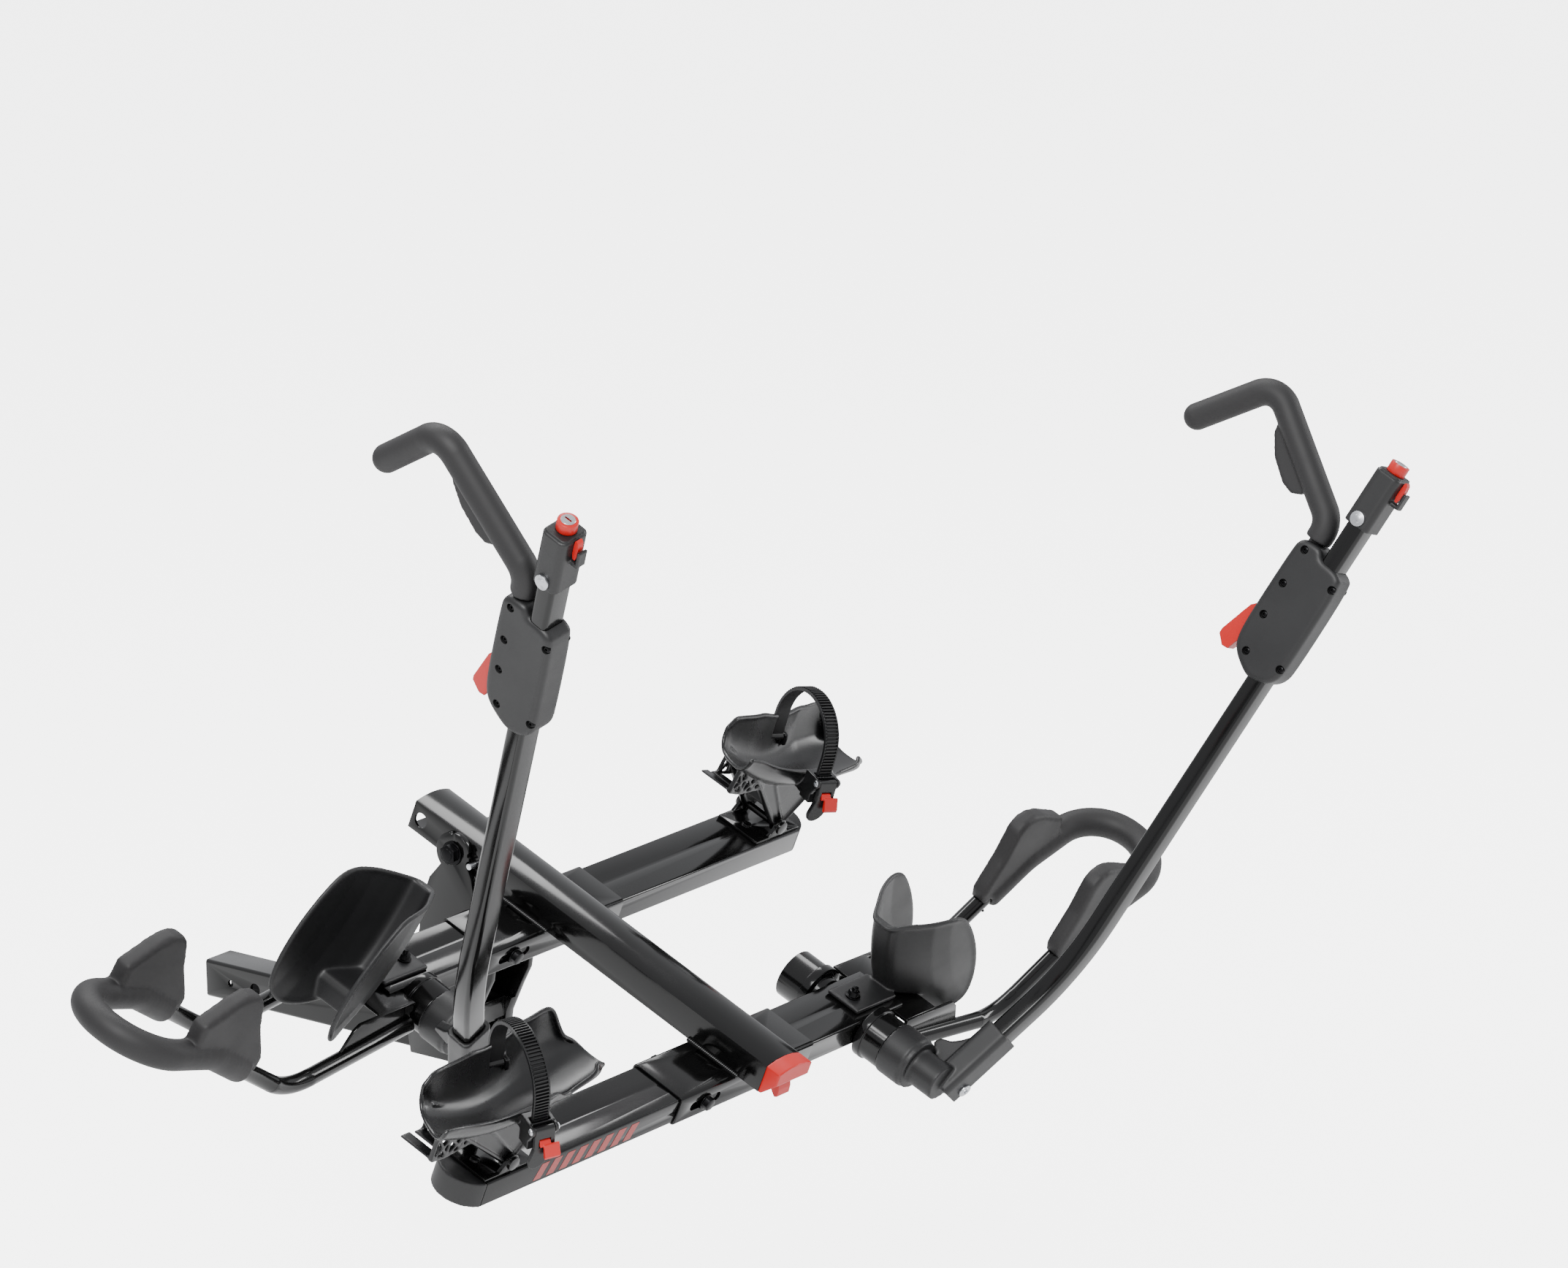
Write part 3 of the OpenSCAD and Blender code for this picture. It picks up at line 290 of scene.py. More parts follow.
dressed("stinger_tube", "receiver_bar", powder_coat, "black_steel", 0.6, "hitch")
dressed("riser", "riser_plates", powder_coat, "black_steel", 0.8, "hitch")
dressed("pivot_bolt", "tilt_bolt", black_oxide, "dark_zinc", 0.5, "hitch")


# ---------- spine ----------
# A crowned rectangular steel tube carries both trays on folded sleeves, which are welded under it. A red
# moulded cap closes its outer end and holds the squeeze lever that pulls the latch rod.
def remoulded(piece, grid_mm, passes, swell_mm=0.0):
    """Lays the piece's surface again as an even grid and relaxes it, so that all edges get a radius.

    swell_mm gives back the thickness that the relaxing takes."""
    relay = piece.modifiers.new("even_grid", "REMESH")
    relay.mode = "VOXEL"
    relay.voxel_size = grid_mm / 1000
    relax = piece.modifiers.new("radii", "SMOOTH")
    relax.factor = 0.5
    relax.iterations = passes
    if swell_mm:
        swell = piece.modifiers.new("thickness", "DISPLACE")
        swell.mid_level = 0
        swell.strength = swell_mm / 1000
    settle(piece, 180)


def moulded(node, name, material, slot, body, grid_mm, passes, swell_mm=0.0):
    """A CAD node as an injection moulding."""
    piece = whole_copy(node, name)
    remoulded(piece, grid_mm, passes, swell_mm)
    hand_over(piece, material, body, slot, node)


def placed(points, faces, name, turn):
    """A mesh through turn, with its faces turned outwards again, because turn may mirror."""
    made = place_mesh(name, points, faces)
    made.data.transform(turn)
    shape = bmesh.new()
    shape.from_mesh(made.data)
    bmesh.ops.remove_doubles(shape, verts=shape.verts, dist=merge_distance)
    bmesh.ops.recalc_face_normals(shape, faces=shape.faces)
    shape.to_mesh(made.data)
    shape.free()
    return made


def loft(name, rows, turn=Matrix()):
    """A closed mesh through rings of points, with flat ends."""
    n = len(rows[0])
    points = [p for row in rows for p in row]
    faces = [(i * n + j, i * n + (j + 1) % n, (i + 1) * n + (j + 1) % n, (i + 1) * n + j)
             for i in range(len(rows) - 1) for j in range(n)]
    faces += [tuple(range(n)), tuple((len(rows) - 1) * n + j for j in reversed(range(n)))]
    return placed(points, faces, name, turn)


def ring(radius, z, around):
    """A circle of points round the z axis."""
    return [Vector((radius * math.cos(math.tau * k / around), radius * math.sin(math.tau * k / around), z))
            for k in range(around)]


def lifted(points, z):
    """The points, moved up by z."""
    return [p + Vector((0, 0, z)) for p in points]


def repeated(name, spots, facings, shape, material, along=None, sharp_angle=35):
    """Copies of shape at spots, each turned so that its z looks along its facing.

    Where along is given, each copy's x lies along it."""
    carrier = place_mesh(name, spots, [])
    facing = carrier.data.attributes.new("facing", "FLOAT_VECTOR", "POINT")
    for i, way in enumerate(facings):
        facing.data[i].vector = way
    tree = bpy.data.node_groups.new(name + "_copies", "GeometryNodeTree")
    tree.interface.new_socket("Geometry", in_out="INPUT", socket_type="NodeSocketGeometry")
    tree.interface.new_socket("Geometry", in_out="OUTPUT", socket_type="NodeSocketGeometry")
    settings = {"Size": ("NodeSocketFloat", 1.0)}
    if along is not None:
        settings["Width direction"] = ("NodeSocketVector", along)
    sockets = {title: tree.interface.new_socket(title, in_out="INPUT", socket_type=kind)
               for title, (kind, value) in settings.items()}
    source = add(tree, "NodeGroupInput")
    way = add(tree, "GeometryNodeInputNamedAttribute", {"Name": "facing"}, data_type="FLOAT_VECTOR")
    turn = add(tree, "FunctionNodeAlignRotationToVector", {},
               {"Vector": way.outputs["Attribute"]}, axis="Z")
    if along is not None:
        lie = add(tree, "FunctionNodeAlignRotationToVector", {},
                  {"Vector": source.outputs["Width direction"]}, axis="X")
        tree.links.new(lie.outputs["Rotation"], turn.inputs["Rotation"])
        turn.pivot_axis = "X"
    unit = add(tree, "GeometryNodeObjectInfo", {"Object": shape})
    copies = add(tree, "GeometryNodeInstanceOnPoints", {}, {
        "Points": source.outputs["Geometry"], "Instance": unit.outputs["Geometry"],
        "Rotation": turn.outputs["Rotation"], "Scale": source.outputs["Size"]})
    real = add(tree, "GeometryNodeRealizeInstances", {}, {"Geometry": copies.outputs["Instances"]})
    coat = add(tree, "GeometryNodeSetMaterial", {"Material": material},
               {"Geometry": real.outputs["Geometry"]})
    add(tree, "NodeGroupOutput", {}, {"Geometry": coat.outputs["Geometry"]})
    maker = carrier.modifiers.new("copies", "NODES")
    maker.node_group = tree
    for title, (kind, value) in settings.items():
        maker[sockets[title].identifier] = value
    settle(carrier, sharp_angle)
    bpy.data.objects.remove(shape)
    return carrier


rack_back = Vector(joint["latch_slide"]["axis"])
rack_turn = Matrix(((1, 0, 0), (0, -rack_back.y, rack_back.z), (0, -rack_back.z, -rack_back.y))).to_4x4()
tilt_frame = Matrix.Translation(Vector(joint["rack_tilt"]["pos_m"])) @ rack_turn
sleeve_centres = {"near": 0.450, "far": 0.122}
bead_offset = 0.0332
bead_height = -0.0141
bead_half = 0.040
bead_lean = 0.8
ripple_pitch = 0.0026
ripple_radius = 0.0034
ripple_profile = ((0.96, -0.3), (1.0, 0), (0.86, 0.32), (0.5, 0.56), (0.14, 0.64))


def weld(name, start, end, facing):
    """A bead of overlapping ripples from start to end, in the steel's own coat."""
    count = max(2, round((end - start).length / ripple_pitch))
    spots = [start.lerp(end, k / (count - 1)) for k in range(count)]
    ripple = loft("ripple", [ring(ripple_radius * r, ripple_radius * z, 12) for r, z in ripple_profile])
    piece = repeated(name, spots, [facing] * count, ripple, powder_coat)
    hand_over(piece, powder_coat, "spine", "black_steel")


dressed("spine_tube", "spine", powder_coat, "black_steel", 1.5, "spine", 3)
dressed("near_sleeve", "near_tray_sleeve", powder_coat, "black_steel", 0.5, "spine")
dressed("far_sleeve", "far_tray_sleeve", powder_coat, "black_steel", 0.5, "spine")
for side, centre in sleeve_centres.items():
    for way, flank in ((-1, "_left"), (1, "_right")):
        weld(side + flank + "_weld",
             tilt_frame @ Vector((way * bead_offset, -centre - bead_half, bead_height)),
             tilt_frame @ Vector((way * bead_offset, -centre + bead_half, bead_height)),
             tilt_frame.to_3x3() @ Vector((way, 0, bead_lean)))
dressed("latch_rod", "latch_pull_rod", zinc_plate, "zinc_steel", 0.3, "latch_rod")
moulded("spine_end_cap", "spine_cap", red_nylon, "red_plastic", "spine", 0.9, 4)
moulded("tilt_lever", "tilt_squeeze_lever", red_nylon, "red_plastic", "tilt_lever", 0.8, 3)


# ---------- trays ----------
# Each tray is a roll-formed steel channel, closed and powder coated, with a moulded end cap. Two bolts in
# the sleeve's slots clamp it. The near tray's outer wall is printed with plain slanted red bars.
mirror_x = Matrix.Scale(-1, 4, Vector((1, 0, 0)))
arm_over_tray = Vector((0.254, 0, -0.024))


def arm_axis_frame(side):
    """The frame on the arm's pivot: x towards the hoop, y to the vehicle, z up from the tray."""
    spot = Matrix.Translation(Vector(joint[side + "_arm_swing"]["pos_m"])) @ rack_turn
    return spot @ mirror_x if side == "far" else spot


def tray_frame(side):
    """The same frame, on top of the tray's tube at the spine."""
    return arm_axis_frame(side) @ Matrix.Translation(-arm_over_tray)


bar_first = -0.405
bar_pitch = 0.024
bar_count = 8
bar_middle = -0.0175
bar_height = 0.023
bar_half_width = 0.007
bar_film = 0.00025
bar_slant = math.radians(20)
bar_lift = 0.00005
tray_half_width = 0.038


def slanted_bars(side):
    """Copies of one thin red parallelogram on the tray's outer wall."""
    turn = tray_frame(side)
    lean = math.tan(bar_slant) * bar_height / 2
    sole = [Vector((x, z, 0)) for x, z in (
        (-bar_half_width - lean, -bar_height / 2), (bar_half_width - lean, -bar_height / 2),
        (bar_half_width + lean, bar_height / 2), (lean - bar_half_width, bar_height / 2))]
    bar = loft("bar", [sole, lifted(sole, bar_film)],
               turn.to_3x3().to_4x4() @ Matrix.Rotation(math.pi / 2, 4, "X"))
    spots = [turn @ Vector((bar_first + bar_pitch * (k + 0.5), -tray_half_width - bar_lift, bar_middle))
             for k in range(bar_count)]
    piece = repeated(side + "_bars", spots, [Vector((0, 0, 1))] * bar_count, bar, printed_red)
    hand_over(piece, printed_red, side + "_tray", "red_plastic")


sides = ("near", "far")
for side in sides:
    tray = side + "_tray"
    dressed(side + "_tray_tube", side + "_wheel_tray", powder_coat, "black_steel", 0.4, tray)
    moulded(side + "_tray_cap", side + "_tray_end_cap", moulded_nylon, "gloss_plastic", tray, 1.3, 5)
    dressed(side + "_clamp_bolt", side + "_tray_bolts", black_oxide, "dark_zinc", 0.4, tray)
    dressed(side + "_pivot_housing", side + "_arm_bearing", powder_coat, "black_steel", 1.0, tray, 3)
    dressed(side + "_scoop_bracket", side + "_scoop_mount", powder_coat, "black_steel", 0.6, tray)
slanted_bars("near")


# ---------- front wheel hoops ----------
# A bent steel tube is welded to a folded bracket at the end of each tray. A soft moulded cover over its
# bow meets the tyre.
for side in sides:
    tray = side + "_tray"
    dressed(side + "_hoop_tube", side + "_hoop_bar", powder_coat, "black_steel", 0.3, tray)
    dressed(side + "_hoop_bracket", side + "_hoop_mount", powder_coat, "black_steel", 0.8, tray)
    moulded(side + "_hoop_cover", side + "_hoop_grip", soft_grip, "black_plastic", tray, 2.0, 26, 2.2)


# ---------- front wheel saddles ----------
# Behind each hoop stands a moulded saddle: two wings and a floor that follow a wheel, with a rolled bead
# along their rim. One bolt holds its foot on the tray.
def join_in(piece, more):
    """Adds the mesh of more to the piece's mesh and removes more."""
    shape = bmesh.new()
    shape.from_mesh(piece.data)
    shape.from_mesh(more.data)
    shape.to_mesh(piece.data)
    shape.free()
    bpy.data.objects.remove(more)


def run_at(points, i):
    """The direction of a line of points at its point i."""
    return (points[min(i + 1, len(points) - 1)] - points[max(i - 1, 0)]).normalized()


# no rod here runs this way, so it can tell a rod's sides apart
off_axis = Vector((0.3, 0.2, 1))


def tube_along(name, points, radius, turn=Matrix(), around=10):
    """A round rod along points."""
    rows = []
    for i, p in enumerate(points):
        run = run_at(points, i)
        side_way = run.cross(off_axis).normalized()
        other = run.cross(side_way)
        rows.append([p + c.x * side_way + c.y * other for c in ring(radius, 0, around)])
    return loft(name, rows, turn)


def rounded(points, times, closed=True):
    """Corner cutting: each pass replaces every corner by two points, so the line turns smoothly."""
    for _ in range(times):
        n = len(points)
        spans = range(n) if closed else range(n - 1)
        cut = [q for i in spans for q in (points[i].lerp(points[(i + 1) % n], 0.25),
                                          points[i].lerp(points[(i + 1) % n], 0.75))]
        points = cut if closed else [points[0]] + cut + [points[-1]]
    return points


wheel_radius = 0.345
saddle_centre = Vector((0.595, 0, 0.205))
saddle_half = 0.0535
saddle_bead = 0.0036
bead_outside = 0.0025
# depth inside the wheel's radius in mm, and the share of the half width there
saddle_section = ((0, 0.24), (4, 0.34), (22, 0.57), (44, 0.8), (70, 0.93), (132, 1.0))
# the rim in side view, from the top of the back edge round to the lip, in mm
saddle_rim = ((252, 117), (276, 124), (300, 129), (326, 133), (344, 132), (360, 124), (386, 96), (408, 64),
              (424, 30), (430, 2), (428, -16), (418, -30), (404, -37), (380, -38), (357, -32))
# the floor that joins the wings in front of the tray, in mm: x, z, half width, half thickness in x and z
saddle_floor = ((310, 3.6, 14, 0, 1.8), (326, 1.6, 22, 0, 1.8), (342, 0.6, 31, 0, 1.8),
                (355, -0.6, 37, 1.2, 1.4), (361, -8, 35, 1.8, 0.6), (366, -30, 29, 1.8, 0.3))


def saddle_reach(depth_mm):
    """Half width of the saddle's outside at a depth inside the wheel's radius."""
    half = saddle_half + bead_outside
    for (d0, w0), (d1, w1) in zip(saddle_section, saddle_section[1:]):
        if depth_mm <= d1:
            return (w0 + (w1 - w0) * max(0, (depth_mm - d0) / (d1 - d0))) * half
    return half


def wheel_saddle(side):
    """The CAD saddle with its rim bead and its floor, relaxed until no facet shows."""
    turn = tray_frame(side)
    piece = whole_copy(side + "_front_saddle", side + "_wheel_saddle")
    for way in (-1, 1):
        rim = []
        for x, z in saddle_rim:
            spot = Vector((x / 1000, 0, z / 1000))
            depth = wheel_radius - (spot - saddle_centre).length
            rim.append(spot + Vector((0, way * saddle_reach(depth * 1000), 0)))
        # each half of the bead starts in the middle of the back edge
        rim.insert(0, Vector((rim[0].x - 0.001, 0, rim[0].z)))
        join_in(piece, tube_along("rim", rounded(rim, 2, False), saddle_bead, turn))
    rows = [[Vector((x + s * dx, way * half, z + s * dz)) / 1000
             for s, way in ((1, -1), (1, 1), (-1, 1), (-1, -1))] for x, z, half, dx, dz in saddle_floor]
    join_in(piece, loft("floor", rows, turn))
    remoulded(piece, 1.5, 24)
    hand_over(piece, moulded_nylon, side + "_tray", "black_plastic", side + "_front_saddle")


for side in sides:
    wheel_saddle(side)
    dressed(side + "_saddle_stud", side + "_saddle_bolt", black_oxide, "dark_zinc", 0.4, side + "_tray")


# ---------- arms ----------
# A moulded knuckle turns in the tray's bearing. Its socket holds a rectangular steel tube with one gentle
# bend, and the tube's end carries a cap, a quick-release pin and the red barrel of the cable lock.
def cut_away(piece, tools, sharp_angle=35):
    """Cuts closed tool shapes out of the piece."""
    for tool in tools:
        cut = piece.modifiers.new("cut", "BOOLEAN")
        cut.operation = "DIFFERENCE"
        cut.solver = "EXACT"
        cut.object = tool
    settle(piece, sharp_angle)
    for tool in tools:
        bpy.data.objects.remove(tool)


def across(outline):
    """Millimetre pairs as flat vectors in metres."""
    return [Vector((a / 1000, b / 1000)) for a, b in outline]


def slab(name, outline, x0, x1, turn):
    """A plate with an outline of (y, z) points, in metres, from x0 to x1."""
    n = len(outline)
    points = [Vector((x, p.x, p.y)) for x in (x0, x1) for p in outline]
    faces = [tuple(range(n)), tuple(reversed(range(n, 2 * n)))]
    faces += [(j, j + n, (j + 1) % n + n, (j + 1) % n) for j in range(n)]
    return placed(points, faces, name, turn)


far_swing = math.radians(4.4)
bend_from_pivot = Vector((0.152, -0.194, 0.155))
# how far the arm turns outwards and leans below its bend and above it, in degrees
low_turns = (38, 10.4)
high_turns = (18.7, 3.1)
bar_width = 0.034
bar_depth = 0.026
bar_corner = 0.006
low_heights = (-0.174, -0.10)
high_heights = (0.12, 0.3, 0.5, 0.734)
bend_reach = 0.075
bend_steps = 16


def arm_frames(side):
    """The frames of the arm below and above its bend, both with their origin in the bend."""
    spot = arm_axis_frame(side)
    if side == "far":
        spot = spot @ Matrix.Rotation(-far_swing, 4, "Y")
    spot = spot @ Matrix.Translation(bend_from_pivot)
    return [spot @ Matrix.Rotation(math.radians(swing), 4, "Y")
            @ Matrix.Rotation(math.radians(lean), 4, "X") for swing, lean in (low_turns, high_turns)]


def bar_ring(width, depth, corner, each=7):
    """A rounded rectangle as points in x and y."""
    corners = []
    for sx, sy, start in ((1, 1, 0), (-1, 1, 90), (-1, -1, 180), (1, -1, 270)):
        for k in range(each):
            a = math.radians(start + 90 * k / (each - 1))
            corners.append(Vector((sx * (width / 2 - corner) + corner * math.cos(a),
                                   sy * (depth / 2 - corner) + corner * math.sin(a), 0)))
    return corners


def arm_bar(side):
    """The bar swept through one gentle bend between its two straight lengths."""
    low, high = arm_frames(side)
    section = bar_ring(bar_width, bar_depth, bar_corner)
    start = low @ Vector((0, 0, -bend_reach))
    corner = low.translation
    stop = high @ Vector((0, 0, bend_reach))
    rows = [[low @ p for p in lifted(section, z)] for z in low_heights]
    for k in range(bend_steps + 1):
        t = k / bend_steps
        spot = (1 - t) ** 2 * start + 2 * t * (1 - t) * corner + t * t * stop
        share = t * t * (3 - 2 * t)
        rows.append([spot + (1 - share) * (low.to_3x3() @ p) + share * (high.to_3x3() @ p)
                     for p in section])
    rows += [[high @ p for p in lifted(section, z)] for z in high_heights]
    piece = loft(side + "_arm_bar", rows)
    shade(piece, 40)
    hand_over(piece, powder_coat, side + "_arm", "black_steel", side + "_arm_tube")


lock_face_at = Vector((-0.001, 0, 0.7646))
lock_face_profile = ((0.0088, -0.0012), (0.0088, 0.0002), (0.0082, 0.0008))
key_slot = (0.0024, 0.0105, 0.0011)
key_slot_depth = 0.002
tab_outline = ((-25.5, 723), (-18.8, 723), (-18.8, 748), (-21.5, 751), (-25.5, 746))
tab_half = 0.0042


def lock_face(side):
    """The bright face of the lock cylinder, with its key slot."""
    turn = arm_frames(side)[1] @ Matrix.Translation(lock_face_at)
    piece = loft(side + "_lock_face", [ring(r, z, 32) for r, z in lock_face_profile], turn)
    slot = bar_ring(*key_slot, 4)
    cut_away(piece, [loft("key_slot", [lifted(slot, -key_slot_depth), lifted(slot, key_slot_depth)], turn)])
    hand_over(piece, zinc_plate, side + "_lock", "zinc_steel")


def cable_tab(side):
    """The red pull tab of the cable lock, between the arm's cap and its clip."""
    piece = slab(side + "_cable_tab", rounded(across(tab_outline), 1), -tab_half, tab_half,
                 arm_frames(side)[1])
    shade(piece, 35)
    hand_over(piece, red_nylon, side + "_arm", "red_plastic")


for side in sides:
    arm = side + "_arm"
    moulded(side + "_arm_base", side + "_arm_knuckle", moulded_nylon, "black_plastic", arm, 1.6, 6)
    arm_bar(side)
    moulded(side + "_arm_cap", side + "_arm_end_cap", moulded_nylon, "gloss_plastic", arm, 1.1, 4)
    dressed(side + "_arm_pin", side + "_arm_pins", zinc_plate, "zinc_steel", 0.5, arm)
    dressed(side + "_lock_core", side + "_lock_barrel", red_nylon, "red_plastic", 0.8, side + "_lock")
    lock_face(side)
    cable_tab(side)


# ---------- hooks ----------
# Two moulded halves slide on each arm and clamp a steel hook that is covered with soft rubber. Six button
# screws hold each face, and the red trigger frees the ratchet inside. Outlines and spots are in mm.
slider_at = Vector((0, 0, 0.440))
slider_half = 0.020
slider_outline = ((-12, 2), (8, -3), (22, 1), (44, 15), (52, 30), (55, 60), (55, 164), (52, 176), (44, 182),
                  (24, 184), (17, 180), (12, 172), (-8, 172), (-20, 168), (-27, 160), (-28, 32), (-24, 14))
slider_shoulder = 0.0065
bar_play = 0.0008
passage_ends = (-0.02, 0.21)
pocket_outline = ((38, 4), (70, 4), (70, 80), (44, 80), (38, 60))
pocket_half = 0.0105
screw_spots = ((38, 170), (38, 120), (37, 74), (30, 24), (-21.6, 31), (-21.6, 150))
counterbore_radius = 0.0055
counterbore_depth = 0.005
tool_clear = 0.01
screw_lift = 0.0002
# radius, height and socket of a button head
slider_screw = (0.0046, 0.0031, 0.002)


def slider_frame(side):
    """The frame of the slider on its arm."""
    return arm_frames(side)[1] @ Matrix.Translation(slider_at)


def peg(name, y, z, x0, x1, radius, turn):
    """A round peg along x."""
    return slab(name, [Vector((y + c.x, z + c.y)) for c in ring(radius, 0, 24)], x0, x1, turn)


def hook_slider(side):
    """Two clamped shells with soft shoulders, bored for the bar, the trigger and the screws."""
    turn = slider_frame(side)
    piece = slab(side + "_hook_slider", rounded(across(slider_outline), 2), -slider_half, slider_half, turn)
    shoulder = piece.modifiers.new("shoulders", "BEVEL")
    shoulder.width = slider_shoulder
    shoulder.segments = 5
    shoulder.limit_method = "ANGLE"
    shoulder.angle_limit = math.radians(50)
    shoulder.use_clamp_overlap = False
    remoulded(piece, 1.5, 8)
    bore = bar_ring(bar_width + bar_play, bar_depth + bar_play, bar_corner, 4)
    tools = [loft("passage", [lifted(bore, z) for z in passage_ends], turn),
             slab("pocket", across(pocket_outline), -pocket_half, pocket_half, turn)]
    for y, z in screw_spots:
        for way in (-1, 1):
            x0, x1 = sorted((way * (slider_half - counterbore_depth), way * (slider_half + tool_clear)))
            tools.append(peg("counterbore", y / 1000, z / 1000, x0, x1, counterbore_radius, turn))
    cut_away(piece, tools)
    hand_over(piece, moulded_nylon, side + "_hook", "black_plastic", side + "_hook_housing")


def screw_head(radius, height, socket):
    """A low button head with a hex socket, its face up and its seat at the origin."""
    rows = [ring(r, z, 24) for r, z in ((radius, 0), (radius, height * 0.35), (radius * 0.86, height * 0.8),
                                        (radius * 0.62, height), (socket * 1.08, height))]
    hexagon = []
    for k in range(24):
        a = math.tau * k / 24
        flat = socket * math.cos(math.pi / 6) / math.cos((a % (math.pi / 3)) - math.pi / 6)
        hexagon.append(Vector((flat * math.cos(a), flat * math.sin(a), 0)))
    return loft("screw_head", rows + [lifted(hexagon, height * 0.98), lifted(hexagon, height * 0.3)])


def screwed(name, spots, head, material, turn):
    """Screw heads at (x, y, z) spots in the frame turn, each facing out along x."""
    facings = [turn.to_3x3() @ Vector((math.copysign(1, x), 0, 0)) for x, y, z in spots]
    return repeated(name, [turn @ Vector(spot) for spot in spots], facings, head, material)


def slider_screws(side):
    """Button screws in the counterbores of both faces of the slider."""
    seat = slider_half - counterbore_depth + screw_lift
    spots = [(way * seat, y / 1000, z / 1000) for way in (-1, 1) for y, z in screw_spots]
    piece = screwed(side + "_slider_screws", spots, screw_head(*slider_screw), black_oxide,
                    slider_frame(side))
    hand_over(piece, black_oxide, side + "_hook", "dark_zinc", side + "_hook_screws")


for side in sides:
    hook_slider(side)
    moulded(side + "_hook_rod", side + "_hook_grip", soft_grip, "black_plastic", side + "_hook",
            1.5, 10, 1.4)
    slider_screws(side)
    moulded(side + "_hook_trigger", side + "_ratchet_trigger", red_nylon, "red_plastic",
            side + "_trigger", 0.9, 4)


# ---------- rear wheel scoops ----------
# A deep trough of black nylon, moulded in one with its trunk, its ribbed keel and the lugs for the strap.
# Its floor follows a wheel, its far wall stands tall, its near wall is a low rolled rim, and the inner
# end runs out in a lip. It rocks on a pin in the tray bracket.
scoop_drop = 0.062
trough_low = -0.020
trough_ends = (-0.150, 0.147)
trough_half = 0.039
trough_wall = 0.005
trough_skew = 0.5
floor_power = 1.8
wall_power = 2.4
tongue_start = 0.060
tongue_slope = 0.16
tongue_round = 0.024
rim_bead = 0.0031
far_tilt = math.radians(15)
# heights of the two rims over the floor and how far they lean in, as (station, value) pairs in mm
near_height = ((-150, 20), (-142, 24), (-120, 28), (20, 30), (44, 27), (62, 10), (80, 6), (120, 9),
               (147, 14))
far_height = ((-150, 22), (-146, 34), (-138, 44), (-110, 52), (-60, 64), (0, 62), (40, 61), (70, 57),
              (95, 57), (114, 55), (126, 47), (137, 28), (147, 12))
near_lean = ((-150, 3), (-60, 0), (30, -1), (62, 5), (90, 8), (128, 8), (140, 11), (147, 18))
far_lean = ((-150, 9), (-110, 5), (-40, 3), (0, -1), (50, -10), (95, -11), (112, -10), (126, -6),
            (138, 2), (147, 14))


def scoop_frame(side):
    """The frame of a rear scoop, on its pivot. The far scoop rests tilted."""
    spot = Matrix.Translation(Vector(joint[side + "_scoop_tilt"]["pos_m"])) @ rack_turn
    return spot @ Matrix.Rotation(far_tilt, 4, "Y") if side == "far" else spot


def between(x, stations):
    """The value at x on straight lines through (place, value) stations.

    The stations are in mm, and x and the value are in metres."""
    x *= 1000
    for (x0, y0), (x1, y1) in zip(stations, stations[1:]):
        if x <= x1:
            return (y0 + (y1 - y0) * min(max((x - x0) / (x1 - x0), 0), 1)) / 1000
    return stations[-1][1] / 1000


def softly(x, stations, reach=0.006):
    """The same, averaged over a short reach, so that the rim has no corners."""
    return sum(between(x + reach * k / 3, stations) for k in range(-3, 4)) / 7


def trough_floor(u):
    """Height of the trough's floor over its pivot at station u."""
    w = min(u, tongue_start) - trough_low
    arch = wheel_radius - math.sqrt(wheel_radius ** 2 - w * w)
    return scoop_drop + arch + tongue_slope * max(0, u - tongue_start)


def trough_point(u, p, out):
    """A point of the shell. p runs from -1 at the near rim to 1 at the far rim."""
    rise, lean = (far_height, far_lean) if p >= 0 else (near_height, near_lean)
    q = abs(p)
    w = trough_half - softly(u, lean)
    h = softly(u, rise)
    y = w * (1 - (1 - q) ** floor_power)
    z = h * q ** wall_power
    if out:
        run = Vector((w * floor_power * (1 - q) ** (floor_power - 1) + 1e-6,
                      h * wall_power * q ** (wall_power - 1))).normalized()
        y += trough_wall * run.y
        z -= trough_wall * run.x
    y = y if p >= 0 else -y
    share = (u - trough_ends[0]) / (trough_ends[1] - trough_ends[0])
    return Vector((u + trough_skew * y * (1 - share) - tongue_round * q ** 4 * share ** 6, y,
                   trough_floor(u) + z))


def trough_shell(name, lengths=56, widths=40):
    """The trough itself, as one closed wall between its inner and outer faces."""
    rows = []
    for i in range(lengths + 1):
        share = 0.5 - 0.5 * math.cos(math.pi * i / lengths)
        u = trough_ends[0] + (trough_ends[1] - trough_ends[0]) * share
        inner = [trough_point(u, -1 + 2 * j / widths, False) for j in range(widths + 1)]
        outer = [trough_point(u, -1 + 2 * j / widths, True) for j in reversed(range(widths + 1))]
        rows.append(inner + outer)
    n = len(rows[0])
    points = [p for row in rows for p in row]
    faces = [(i * n + j, (i + 1) * n + j, (i + 1) * n + (j + 1) % n, i * n + (j + 1) % n)
             for i in range(lengths) for j in range(n)]
    last = lengths * n
    for j in range(widths):
        faces.append((j, j + 1, n - 2 - j, n - 1 - j))
        faces.append((last + j, last + n - 1 - j, last + n - 2 - j, last + j + 1))
    return place_mesh(name, points, faces)


def rim_beads():
    """The rolled bead along both rims and across both ends."""
    stations = [trough_ends[0] + (trough_ends[1] - trough_ends[0]) * k / 60 for k in range(61)]
    crossing = [-1 + k / 24 for k in range(49)]
    lines = [[(u, p) for u in stations] for p in (-1, 1)]
    lines += [[(u, p) for p in crossing] for u in trough_ends]
    return [tube_along("rim", [(trough_point(u, p, False) + trough_point(u, p, True)) / 2 for u, p in line],
                       rim_bead) for line in lines]


across_to_along = Matrix(((0, 1, 0, 0), (1, 0, 0, 0), (0, 0, 1, 0), (0, 0, 0, 1)))


